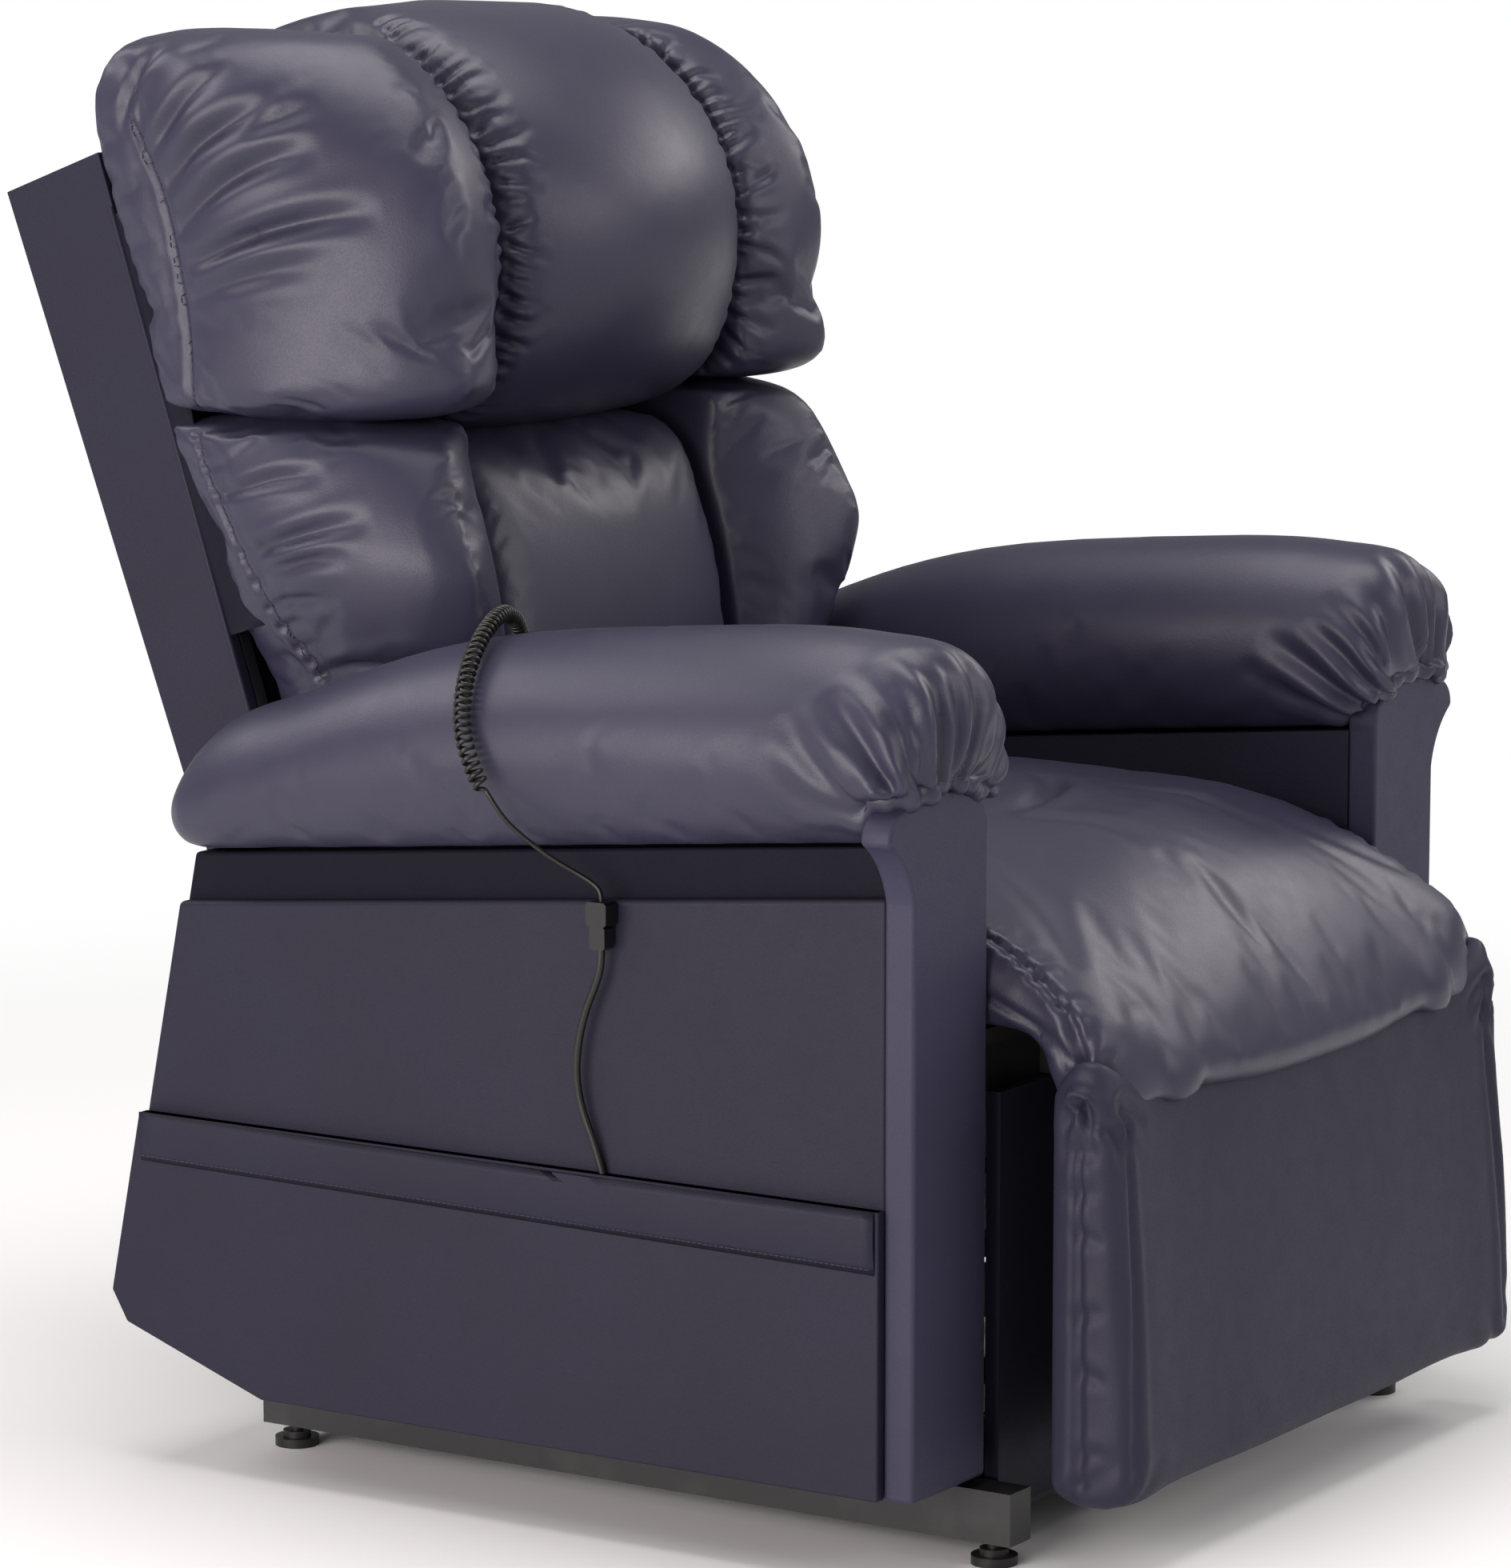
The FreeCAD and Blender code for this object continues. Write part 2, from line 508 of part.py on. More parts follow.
# Kick panel behind the footrest, notched for the footrest actuator's yoke
kick_top = "deck_bottom - front_bar_height + kick_lap"
kick_board = box("kick_board", ("-1 * kick_half", "kick_half"), ("front_bar_y - kick_thick", "front_bar_y"),
                 ("kick_bottom", kick_top))
notch_half = "(yoke_outer + 4)"
kick_notch = box("kick_notch", ("footrest_actuator_x - " + notch_half, "footrest_actuator_x + " + notch_half),
                 ("front_bar_y - kick_thick", "front_bar_y"),
                 (footrest_line[1] + " - footrest_crank * 0.36", kick_top))
keep("kick_panel", cut("kick", kick_board, kick_notch))

# Footrest hinges: fixed brackets on the front bar, and arms with their pins on the board
define("bracket_inner", 200, "middle plane to a footrest hinge bracket")
define("hinge_radius", 14, "radius of the hinge ends")
define("hinge_gap", 1, "space between a bracket and a hinge arm")
define("board_y", -452, "front face of the footrest board")
define("board_thick", 12, "thickness of the footrest board")
define("board_top", 335, "upper edge of the footrest board")
define("board_bottom", 62, "lower edge of the footrest board")
define("board_half", 285, "half the width of the footrest board")
define("strap_length", 150, "length of a hinge arm's strap on the board")
bracket_outline = (
    ("front_bar_y", "deck_bottom"), ("front_bar_y", "deck_bottom - 35"),
    ("footrest_hinge_y", "footrest_hinge_z - hinge_radius"),
    ("footrest_hinge_y - hinge_radius * 0.8", "footrest_hinge_z - hinge_radius * 0.6"),
    ("footrest_hinge_y - hinge_radius", "footrest_hinge_z + hinge_radius * 0.3"),
    ("footrest_hinge_y - hinge_radius * 0.4", "footrest_hinge_z + hinge_radius"),
    ("footrest_hinge_y + hinge_radius", "footrest_hinge_z + hinge_radius"))
bracket_holes = (("footrest_hinge_y", "footrest_hinge_z", "pin_radius + running_gap"),)
brackets = both_sides(lambda side, x: plate("hinge_bracket_" + side, x, bracket_outline, bracket_holes),
                      "bracket_inner", "bracket_inner + link_thick")
keep("footrest_hinge_brackets", group("brackets", *brackets))

board_back = "board_y + board_thick"
drive_pin = crank_pin("footrest_hinge_y", "footrest_hinge_z", "footrest_crank", "(270 + footrest_travel / 2)")

# The yoke's cheeks pass through two slots in the board, one each side of the crank
board_slots = []
for side, near, far in (("right", "-1 * (yoke_outer + 1)", "-1 * (crank_half + 0.5)"),
                        ("left", "crank_half + 0.5", "yoke_outer + 1")):
    board_slots.append(box("board_slot_" + side, ("footrest_actuator_x + " + near, "footrest_actuator_x + " + far),
                           ("board_y", board_back), (drive_pin[1] + " - footrest_crank * 0.17", "board_top")))
board_sheet = box("board_sheet", ("-1 * board_half", "board_half"), ("board_y", board_back),
                  ("board_bottom", "board_top"))
keep("footrest_board", cut("footboard", board_sheet, fuse("board_slots", *board_slots)))
footrest_hinge = ("footrest_hinge_y", "footrest_hinge_z")
arm_root = (board_back, "board_top + 3")
hinge_arms = []
for side, sign in (("right", -1), ("left", 1)):
    near = "%d * (bracket_inner + link_thick + hinge_gap)" % sign
    far = "%d * (bracket_inner + 2 * link_thick + hinge_gap)" % sign
    inner = "%d * (bracket_inner - body_gap)" % sign
    x = (far, near) if sign < 0 else (near, far)
    pin_reach = (far, inner) if sign < 0 else (inner, far)
    arm = link("hinge_arm_" + side, x, footrest_hinge, arm_root, "hinge_radius - 3")
    strap = box("hinge_strap_" + side, x, (board_back, board_back + " + link_thick"),
                ("board_top - strap_length", "board_top + 3"))
    # the part of the arm that would lie in the board is cut away
    clear = box("hinge_clear_" + side, x, ("board_y - 2", board_back), ("board_bottom", "board_top"))
    solid = cut("hinge_arm_cut_" + side, fuse("hinge_arm_solid_" + side, arm, strap), clear)
    hinge_arms.append(fuse("hinge_arm_pinned_" + side, solid,
                           bar("hinge_pin_" + side, "pin_radius", pin_reach, "x", *footrest_hinge)))
drive_outline = (
    (board_back, "board_top"), (board_back, "board_top - 85"),
    (drive_pin[0] + " + 6", drive_pin[1] + " - hinge_radius + 1"),
    (drive_pin[0] + " + hinge_radius", drive_pin[1]), (drive_pin[0] + " + 6", drive_pin[1] + " + hinge_radius"))
drive_x = "footrest_actuator_x - %s", "footrest_actuator_x + %s"
hinge_arms.append(fuse(
    "footrest_drive",
    plate("footrest_drive_plate", [text % "crank_half" for text in drive_x], drive_outline),
    bar("footrest_drive_pin", "pin_radius", [text % "yoke_outer" for text in drive_x], "x", *drive_pin)))
keep("footrest_hinge_arms", group("hinge_arms", *hinge_arms))

# Outer side panels, inner arm panels and the recessed bands under the arm pads
roll_low_front = "(panel_top_front_z + band_height)"
roll_rear_z = "(panel_top_rear_z + band_height)"
roll_rear_y = "(%s)" % back_edge(roll_rear_z)


def roll_low(along_y):
    """height of the arm pad's flat underside at a y"""
    return "%s + band_height" % top_edge(along_y)


# the rear edge and the upper line meet a little forward of the rear upper corner
side_outline = (
    (arm_inner_y, "panel_bottom"), ("panel_flat_back", "panel_bottom"), ("panel_rear_y", "panel_rear_z"),
    ("panel_top_rear_y", "panel_top_rear_z"), (arm_inner_y, "panel_top_front_z"))
inner_outline = (
    (arm_inner_y, "panel_bottom"), ("panel_flat_back", "panel_bottom"), ("panel_rear_y", "panel_rear_z"),
    (roll_rear_y, roll_low(roll_rear_y)), (arm_inner_y, roll_low_front))
side_panels = both_sides(lambda side, x: plate("side_panel_plate_" + side, x, side_outline),
                         "side_outer - panel_thick", "side_outer")
inner_panels = both_sides(lambda side, x: plate("inner_panel_plate_" + side, x, inner_outline),
                          "inner_face", "inner_face + panel_thick")
for side, outer, inner in (("right", side_panels[0], inner_panels[0]), ("left", side_panels[1], inner_panels[1])):
    doc.recompute()
    pad = outer.Tip
    corner = (size["panel_rear_y"], size["panel_rear_z"])
    for number, edge in enumerate(pad.Shape.Edges, 1):
        first, last = edge.Vertexes[0].Point, edge.Vertexes[-1].Point
        if abs(first.y - last.y) < 0.01 and math.hypot(first.y - corner[0], first.z - corner[1]) < 0.01:
            rounding = outer.newObject("PartDesign::Fillet", "side_corner_" + side)
            rounding.Base = (pad, ["Edge%d" % number])
            bind(rounding, "Radius", "panel_corner")
            outer.Tip = rounding
            break
    keep("side_panel_" + side, outer)
    keep("inner_panel_" + side, inner)

band_outer = "side_outer - panel_thick"
band_inner = "side_outer - 2 * panel_thick"
low_rear = back_edge("panel_rear_z + 10")


def arm_band(side, x):
    """the band, its strip down the arm's back, and the board that closes the back"""
    strip = "(panel_thick + 12)"
    outline = ((arm_inner_y, "panel_top_front_z - band_lap"), (arm_inner_y, roll_low_front),
               (roll_rear_y, roll_low(roll_rear_y)), (low_rear, "panel_rear_z + 10"),
               (low_rear + " - " + strip, "panel_rear_z + 10"),
               (back_edge("panel_top_rear_z - band_lap - 10") + " - " + strip, "panel_top_rear_z - band_lap - 10"))
    closing = ((low_rear, "panel_rear_z + 10"), (roll_rear_y, roll_low(roll_rear_y)),
               (roll_rear_y + " - arm_back_depth", roll_low(roll_rear_y + " - arm_back_depth")),
               (low_rear + " - arm_back_depth", "panel_rear_z + 10"))
    board_x = ("inner_face + panel_thick", band_inner)
    if side == "right":
        board_x = ("-1 * (%s)" % board_x[1], "-1 * (%s)" % board_x[0])
    return fuse("arm_band_solid_" + side, plate("arm_band_strip_" + side, x, outline),
                plate("arm_closing_" + side, board_x, closing))


bands = both_sides(arm_band, band_inner, band_outer)
keep("arm_band_right", bands[0])
keep("arm_band_left", bands[1])


# Side pockets: a sheet of cloth that stands off the panel and is sewn to it on three edges
def side_pocket(side, x):
    """the sewn pocket, open at its hem; its room is cut out of the block that it would fill"""
    hem_rear = back_edge("pocket_top")
    outer = ((arm_inner_y, "panel_bottom"), ("panel_flat_back", "panel_bottom"),
             ("panel_rear_y - panel_corner", "panel_rear_z - panel_corner * 0.35"),
             ("panel_rear_y - panel_corner * 0.2", "panel_rear_z + panel_corner"),
             (hem_rear, "pocket_top"), (arm_inner_y, "pocket_top"))
    room = ((arm_inner_y + " + pocket_seam", "panel_bottom + pocket_seam"),
            ("panel_flat_back", "panel_bottom + pocket_seam"),
            ("panel_rear_y - panel_corner - pocket_seam", "panel_rear_z - panel_corner * 0.35 + pocket_seam"),
            ("panel_rear_y - panel_corner * 0.2 - pocket_seam", "panel_rear_z + panel_corner"),
            (hem_rear + " - pocket_seam", "pocket_top + 10"), (arm_inner_y + " + pocket_seam", "pocket_top + 10"))
    low = "side_outer"
    high = "side_outer + pocket_gap"
    room_x = (low, high) if side == "left" else ("-1 * (%s)" % high, "-1 * " + low)
    return cut("pocket_open_" + side, plate("pocket_block_" + side, x, outer), plate("pocket_room_" + side, room_x, room))


pockets = both_sides(side_pocket, "side_outer", "side_outer + pocket_gap + pocket_cloth")
keep("side_pocket_right", pockets[0])
keep("side_pocket_left", pockets[1])


# Upholstered pieces are lofts through closed outlines of lines and arcs
def outline_wire(start, *steps):
    """a closed outline: each step is an end point, or a point on an arc and its end point"""
    edges = []
    here = Vector(*start)
    for step in steps:
        end = Vector(*step[-1])
        if len(step) == 2:
            edges.append(Part.Arc(here, Vector(*step[0]), end).toShape())
        else:
            edges.append(Part.LineSegment(here, end).toShape())
        here = end
    return Part.Wire(edges)


def mirrored(shape):
    return shape.mirror(Vector(0, 0, 0), Vector(1, 0, 0))


# Arm fronts: an upholstered board with a flared arched top
define("arch_outer", 412, "middle plane to an arm front's outer edge")
define("arch_flare", 446, "middle plane to the arch's outermost point")
define("arch_top", 586, "height of the arch")
define("arch_flare_z", 553, "height of the arch's outermost point")


def arch_wire(along_y):
    """outline of the sitter's left arm front at one y"""
    def at(x, height):
        return (x, along_y, height)
    inner = size["inner_face"]
    outer = size["arch_outer"]
    flare = size["arch_flare"]
    top = size["arch_top"]
    waist = size["arch_flare_z"]
    return outline_wire(
        at(inner, size["panel_bottom"]), (at(outer, size["panel_bottom"]),), (at(outer, waist - 47),),
        (at((outer + flare) / 2 - 5, waist - 20), at(flare, waist)),
        (at(flare - 4, waist + 15), at(flare - 16, top - 10)),
        (at((inner + flare) / 2, top), at(inner + 12, top - 14)),
        (at(inner + 2, top - 24), at(inner, top - 40)), (at(inner, size["panel_bottom"]),))


front_y = size["arm_front_y"]
arm_front_shape = Part.Face(arch_wire(front_y)).extrude(Vector(0, size["arm_front_depth"], 0))
keep("arm_front_left", form("arm_front_board_left", arm_front_shape))
keep("arm_front_right", form("arm_front_board_right", mirrored(arm_front_shape)))

# Arm pads: a roll that overhangs the arm on both sides and slopes down to the back
define("roll_outer", 450, "middle plane to an arm pad's outermost point")
define("roll_inner", 281, "middle plane to an arm pad's innermost point")
define("roll_crest_x", 354, "middle plane to an arm pad's crest")
define("roll_crest_z", 698, "height of an arm pad's crest near the front")
define("roll_front_y", -409, "front end of the arm pads")
define("roll_back_y", 282, "rear end of the arm pads")


def low_line(along_y):
    """height of the arm pad's underside, in numbers"""
    rise = (size["panel_top_front_z"] - size["panel_top_rear_z"])
    run = size["panel_top_rear_y"] - front_y - size["arm_front_depth"]
    return size["panel_top_front_z"] + size["band_height"] - rise / run * (along_y - front_y - size["arm_front_depth"])


def roll_wire(along_y, crest, outer, inner, low, middle, base_in=0.0):
    """cross-section of the left arm pad: a flat underside and four arcs of a quarter turn"""
    corner = 0.7071
    crest_x = size["roll_crest_x"]
    base_outer = size["side_outer"] - 2 - base_in
    base_inner = size["inner_face"] + 2 + base_in

    def at(x, height):
        return (x, along_y, height)

    def bulge(x, base_x, height):
        """a point of the arc between the underside and the widest place"""
        return at(x - (x - base_x) * 0.22, low + (height - low) * 0.32)

    top = crest - middle
    return outline_wire(
        at(base_inner, low), (at(base_outer, low),),
        (bulge(outer, base_outer, middle), at(outer, middle)),
        (at(crest_x + (outer - crest_x) * corner, middle + top * corner), at(crest_x, crest)),
        (at(crest_x - (crest_x - inner) * corner, middle + top * corner), at(inner, middle)),
        (bulge(inner, base_inner, middle), at(base_inner, low)))


crest = size["roll_crest_z"]
wide = size["roll_outer"]
near = size["roll_inner"]
back_y = size["roll_back_y"]
# each station: y, crest, outermost x, innermost x, rise of the underside, height of the widest place, base inset
stations = (
    (size["roll_front_y"], crest - 62, wide - 34, near + 32, 46, crest - 88, 14),
    (front_y - 9, crest - 30, wide - 12, near + 13, 22, crest - 88, 4),
    (front_y + 5, crest - 12, wide - 4, near + 4, 8, crest - 88, 0),
    (front_y + 30, crest - 3, wide, near, 0, crest - 88, 0),
    (front_y + 93, crest, wide, near, 0, crest - 88, 0),
    (-160, crest - 8, wide - 1, near + 3, 0, crest - 97, 0),
    (-4, crest - 26, wide - 3, near + 9, 0, crest - 112, 0),
    (120, crest - 60, wide - 8, near + 15, 0, crest - 135, 0),
    (200, crest - 88, wide - 13, near + 18, 0, crest - 152, 0),
    (back_y - 34, crest - 110, wide - 18, near + 21, 0, crest - 164, 0),
    (back_y - 12, crest - 133, wide - 26, near + 26, 6, crest - 171, 6),
    (back_y, crest - 160, wide - 44, near + 40, 24, crest - 174, 18))
roll_wires = [roll_wire(y, top, outer, inner, low_line(y) + rise, middle, inset)
              for y, top, outer, inner, rise, middle, inset in stations]
roll_shape = Part.makeLoft(roll_wires, True, False)
front_reach = front_y - size["roll_front_y"] + 10
arch_tool = Part.Face(arch_wire(size["roll_front_y"] - 10)).extrude(Vector(0, size["arm_front_depth"] + front_reach, 0))
# the underside lies flat on the inner panel and on the band
under_reach = (size["roll_front_y"] - 20, back_y + 20)
under_points = [Vector(near, y, low_line(y) - drop) for y, drop in
                ((under_reach[0], 0), (under_reach[1], 0), (under_reach[1], 100), (under_reach[0], 100))]
under_tool = Part.Face(Part.makePolygon(under_points + under_points[:1])).extrude(Vector(wide - near, 0, 0))
arm_pad_shape = roll_shape.cut(arch_tool).cut(under_tool).Solids[0]
keep("arm_pad_left", form("arm_pad_roll_left", arm_pad_shape))
keep("arm_pad_right", form("arm_pad_roll_right", mirrored(arm_pad_shape)))

# Seat cushion: crowned top, waterfall front whose rounded nose turns about the footrest hinge
define("cushion_half", 306, "half the width of the seat cushion")
define("cushion_back", 95, "rear end of the seat cushion")
define("cushion_top", 514, "height of the seat cushion's crown")
define("cushion_droop", 22, "how much lower the cushion is at its sides")
define("nose_radius", 18, "radius of the cushion's nose about the footrest hinge")
cushion_low = size["deck_bottom"] + size["deck_thick"] + size["body_gap"]
hinge_y = size["footrest_hinge_y"]
hinge_z = size["footrest_hinge_z"]


def seat_wire(x, droop, inset):
    """side view of the cushion at one x; the nose is lower in the middle than at the sides"""
    def at(along_y, height):
        return (x, along_y, height)
    top = size["cushion_top"] - droop - inset
    rear = size["cushion_back"] - inset
    low = cushion_low + inset * 0.6
    nose = hinge_y - size["nose_radius"] + droop * 0.9 + inset
    nose_low = hinge_z - size["nose_radius"] + droop * 0.9 + inset
    front_z = hinge_z + droop * 0.7
    return outline_wire(
        at(rear, low), (at(rear + 6, (low + top) / 2 - 8), at(rear - 6, top - 14)),
        (at(rear - 12, top - 5), at(rear - 32, top - 2)),
        (at(-150, top), at(-330, top - 9)),
        (at(-432, top - 50), at(nose + 8, front_z + 34)),
        (at(nose + 1, front_z + 17), at(nose, front_z)),
        (at(nose + 7, nose_low + 6), at(nose + 22, nose_low)),
        (at(-446, nose_low + 2),), (at(-432, low),), (at(rear, low),))


half = size["cushion_half"]
droop = size["cushion_droop"]
seat_wires = []
for share, inset in ((-1.0, 18), (-0.985, 7), (-0.95, 1.5), (-0.8, 0), (-0.4, 0), (0.0, 0),
                     (0.4, 0), (0.8, 0), (0.95, 1.5), (0.985, 7), (1.0, 18)):
    seat_wires.append(seat_wire(share * half, droop * share * share, inset))
seat_shape = Part.makeLoft(seat_wires, True, False)
slot_in = size["bracket_inner"] - 2
slot_width = 2 * size["link_thick"] + size["hinge_gap"] + 4
slot_top = hinge_z + size["hinge_radius"] + 3
for sign in (-1, 1):
    slot_x = slot_in if sign > 0 else -slot_in - slot_width
    slot = Part.makeBox(slot_width, 105, slot_top - 320, Vector(slot_x, hinge_y - 45, 320))
    seat_shape = seat_shape.cut(slot)
deck_length = size["deck_back"] - size["deck_front"]
deck_tool = Part.makeBox(2 * size["inner_face"], deck_length + 3, 60,
                         Vector(-size["inner_face"], size["deck_front"] - 3, cushion_low - 60))
seat_shape = seat_shape.cut(deck_tool)
keep("seat_cushion", form("seat_form", seat_shape.Solids[0]))

# Footrest pad on its board
define("pad_half", 318, "half the width of the footrest pad")
define("pad_bottom", 56, "lowest edge of the footrest pad")
define("pad_thick", 55, "thickness of the footrest pad at its lower end")
pad_back = size["board_y"]


def pad_wire(x, inset, lift):
    """side view of the footrest pad at one x; its upper edge is higher at the sides"""
    def at(along_y, height):
        return (x, along_y, height)
    front_low = pad_back - size["pad_thick"] - 14 + inset
    front_top = hinge_y - 6 + inset
    low = size["pad_bottom"] + inset
    top = hinge_z - size["nose_radius"] - 4 + lift - inset
    rear = pad_back - inset * 0.4
    return outline_wire(
        at(rear, low + 4), (at(rear, top - 28),),
        (at(rear - 12, top - 10), at(front_top + 8, top)),
        (at(front_top + 1, top - 4), at(front_top - 2, top - 14)),
        (at((front_low + front_top) / 2 - 5, (low + top) / 2), at(front_low, low + 18)),
        (at(front_low + 7, low + 4), at(front_low + 22, low)),
        (at((front_low + rear) / 2 + 12, low - 1), at(rear, low + 4)))


pad_half = size["pad_half"]
pad_wires = []
for share, inset, lift in ((-1.0, 12, 30), (-0.985, 5, 24), (-0.95, 1, 18), (-0.8, 0, 10), (-0.4, 0, 2), (0.0, 0, 0),
                           (0.4, 0, 2), (0.8, 0, 10), (0.95, 1, 18), (0.985, 5, 24), (1.0, 12, 30)):
    pad_wires.append(pad_wire(share * pad_half, inset, lift))
pad_shape = Part.makeLoft(pad_wires, True, False)
for sign in (-1, 1):
    slot_x = slot_in if sign > 0 else -slot_in - slot_width
    slot = Part.makeBox(slot_width, 60, 90, Vector(slot_x, hinge_y + 2, 300))
    pad_shape = pad_shape.cut(slot)
board_tool = Part.makeBox(2 * pad_half, size["board_thick"], hinge_z, Vector(-pad_half, pad_back, 0))
pad_shape = pad_shape.cut(board_tool)
keep("footrest_pad", form("footrest_form", pad_shape.Solids[0]))


# Back: a shell open to the front, two rails, two cross rails and the hinge pins
define("shell_half", 302, "half the width of the back's shell")
define("shell_thick", 10, "thickness of the back's shell")
define("shell_bottom", 400, "lower edge of the shell")
define("shell_front_y", 230.5, "front edge of the shell at the height of the back hinge")
define("shell_back_y", 313, "rear face of the shell at the height of the back hinge")
define("front_lean", 0.334, "backward lean of the shell's front edge, per millimetre of height")
define("back_lean", 0.3736, "backward lean of the shell's rear face, per millimetre of height")
define("shell_top_front", 1018, "height of the shell's upper edge at the front")
define("shell_top_back", 984, "height of the shell's upper edge at the rear")
define("back_rail_inner", 278, "middle plane to a back rail")
define("back_rail_thick", 12, "thickness of a back rail")
define("cross_rail_height", 50, "height of the back's cross rails")
define("lower_rail_z", 445, "lower edge of the lower cross rail")
define("upper_rail_z", 925, "lower edge of the upper cross rail")


def front_plane(height):
    return "shell_front_y + front_lean * ((%s) - back_hinge_z)" % height


def back_plane(height):
    return "shell_back_y + back_lean * ((%s) - back_hinge_z)" % height


inside = " - shell_thick - 2"
wall_outline = ((front_plane("shell_bottom"), "shell_bottom"), (back_plane("shell_bottom"), "shell_bottom"),
                (back_plane("shell_top_back"), "shell_top_back"), (front_plane("shell_top_front"), "shell_top_front"))
rear_outline = ((back_plane("shell_bottom") + " - shell_thick", "shell_bottom"),
                (back_plane("shell_bottom"), "shell_bottom"), (back_plane("shell_top_back"), "shell_top_back"),
                (back_plane("shell_top_back") + " - shell_thick", "shell_top_back"))
cap_outline = ((front_plane("shell_top_front") + " + 6", "shell_top_front - shell_thick - 2"),
               (back_plane("shell_top_back") + " - shell_thick", "shell_top_back - shell_thick"),
               (back_plane("shell_top_back"), "shell_top_back"),
               (front_plane("shell_top_front"), "shell_top_front"))
across_shell = ("-1 * shell_half", "shell_half")
walls = both_sides(lambda side, x: plate("shell_wall_" + side, x, wall_outline), "shell_half - shell_thick", "shell_half")
shell_solid = fuse("shell_solid", plate("shell_rear", across_shell, rear_outline),
                   plate("shell_cap", across_shell, cap_outline), *walls)
back_hinge = ("back_hinge_y", "back_hinge_z")
keep("back_shell", cut("shell", shell_solid, bar("shell_pin_hole", "pin_radius", across_shell, "x", *back_hinge)))

rail_outline = (
    ("back_hinge_y - hinge_radius - 3", "back_hinge_z - link_radius"),
    ("back_hinge_y + 2 * hinge_radius", "back_hinge_z - link_radius"),
    (back_plane("back_hinge_z + 120") + inside, "back_hinge_z + 120"),
    (back_plane("shell_top_back - 30") + inside, "shell_top_back - 30"),
    (front_plane("shell_top_back - 30"), "shell_top_back - 30"),
    (front_plane("back_hinge_z + 24"), "back_hinge_z + 24"),
    ("back_hinge_y - hinge_radius - 3", "back_hinge_z + link_radius"))
back_rails = both_sides(
    lambda side, x: plate("back_rail_" + side, x, rail_outline, (back_hinge + ("pin_radius",),)),
    "back_rail_inner", "back_rail_inner + back_rail_thick")
keep("back_rails", group("back_rail_pair", *back_rails))
pin_pair = both_sides(lambda side, x: bar("back_pin_" + side, "pin_radius", x, "x", *back_hinge),
                      "back_rail_inner", "inner_face - body_gap")
keep("back_hinge_pins", group("back_pin_pair", *pin_pair))

between_rails = ("-1 * back_rail_inner", "back_rail_inner")


def cross_rail(name, low):
    high = low + " + cross_rail_height"
    return plate(name, between_rails,
                 ((front_plane(low) + " + 6", low), (back_plane(low) + inside + " - 4", low),
                  (back_plane(high) + inside + " - 4", high), (front_plane(high) + " + 6", high)))


lever_pin = crank_pin("back_hinge_y", "back_hinge_z", "back_crank", "(270 + back_travel / 2)")
lever_outline = (
    ("back_hinge_y + 18", "lower_rail_z + 20"), ("back_hinge_y + 18", "lower_rail_z - 30"),
    (lever_pin[0] + " - hinge_radius", lever_pin[1]), (lever_pin[0] + " - 6", lever_pin[1] + " - hinge_radius + 1"),
    (lever_pin[0] + " + 6", lever_pin[1] + " - hinge_radius + 1"), (lever_pin[0] + " + hinge_radius", lever_pin[1]),
    (back_plane("shell_bottom") + " - shell_thick - 4", "lower_rail_z - 30"),
    (back_plane("shell_bottom") + " - shell_thick - 4", "lower_rail_z + 20"))
lever_x = "back_actuator_x - %s", "back_actuator_x + %s"
lower_rail = fuse("lower_rail_solid", cross_rail("lower_cross_rail", "lower_rail_z"),
                  plate("recline_lever", [text % "crank_half" for text in lever_x], lever_outline),
                  bar("recline_lever_pin", "pin_radius", [text % "yoke_outer" for text in lever_x], "x", *lever_pin))
keep("back_cross_rails", group("cross_rail_pair", lower_rail, cross_rail("upper_cross_rail", "upper_rail_z")))

# Back cushions: each is a stack of horizontal outlines, from its lower edge to its upper edge
define("centre_half", 170, "half the width of the lumbar cushion and of the head pillow")
define("seam_gap", 1, "space between two back cushions")
centre = size["centre_half"]
pivot_z = size["back_hinge_z"]


def cushion_rear(height):
    """y of the cushions' back: on the shell's front edge, then straight up"""
    level = min(height, size["shell_top_front"])
    return size["shell_front_y"] + size["front_lean"] * (level - pivot_z) - size["body_gap"]


def centre_wire(height, half_width, crown, edge, rear):
    """outline of a centre cushion at one height: crowned front, sides drawn in to the seams"""
    def at(x, along_y):
        return (x, along_y, height)
    side_y = edge + (rear - edge) * 0.25
    return outline_wire(
        at(-half_width + 3, rear), (at(half_width - 3, rear),), (at(half_width, side_y),),
        (at(half_width - 5, (side_y + edge) / 2 - 4), at(half_width - 18, edge - 6)),
        (at(0, crown), at(-half_width + 18, edge - 6)),
        (at(-half_width + 5, (side_y + edge) / 2 - 4), at(-half_width, side_y)), (at(-half_width + 3, rear),))


def side_wire(height, seam_y, crown, crown_x, outer_y, outer_x, rear):
    """outline of the left bolster at one height: from the inner seam over the crown to the outer seam"""
    inner = centre + size["seam_gap"]

    def at(x, along_y):
        return (x, along_y, height)
    return outline_wire(
        at(inner, rear), (at(inner, seam_y),),
        (at(inner + (crown_x - inner) * 0.42, crown + (seam_y - crown) * 0.46), at(crown_x, crown)),
        (at(crown_x + (outer_x - crown_x) * 0.78, crown + (outer_y - crown) * 0.34), at(outer_x, outer_y)),
        (at(outer_x - 5, rear),), (at(inner, rear),))


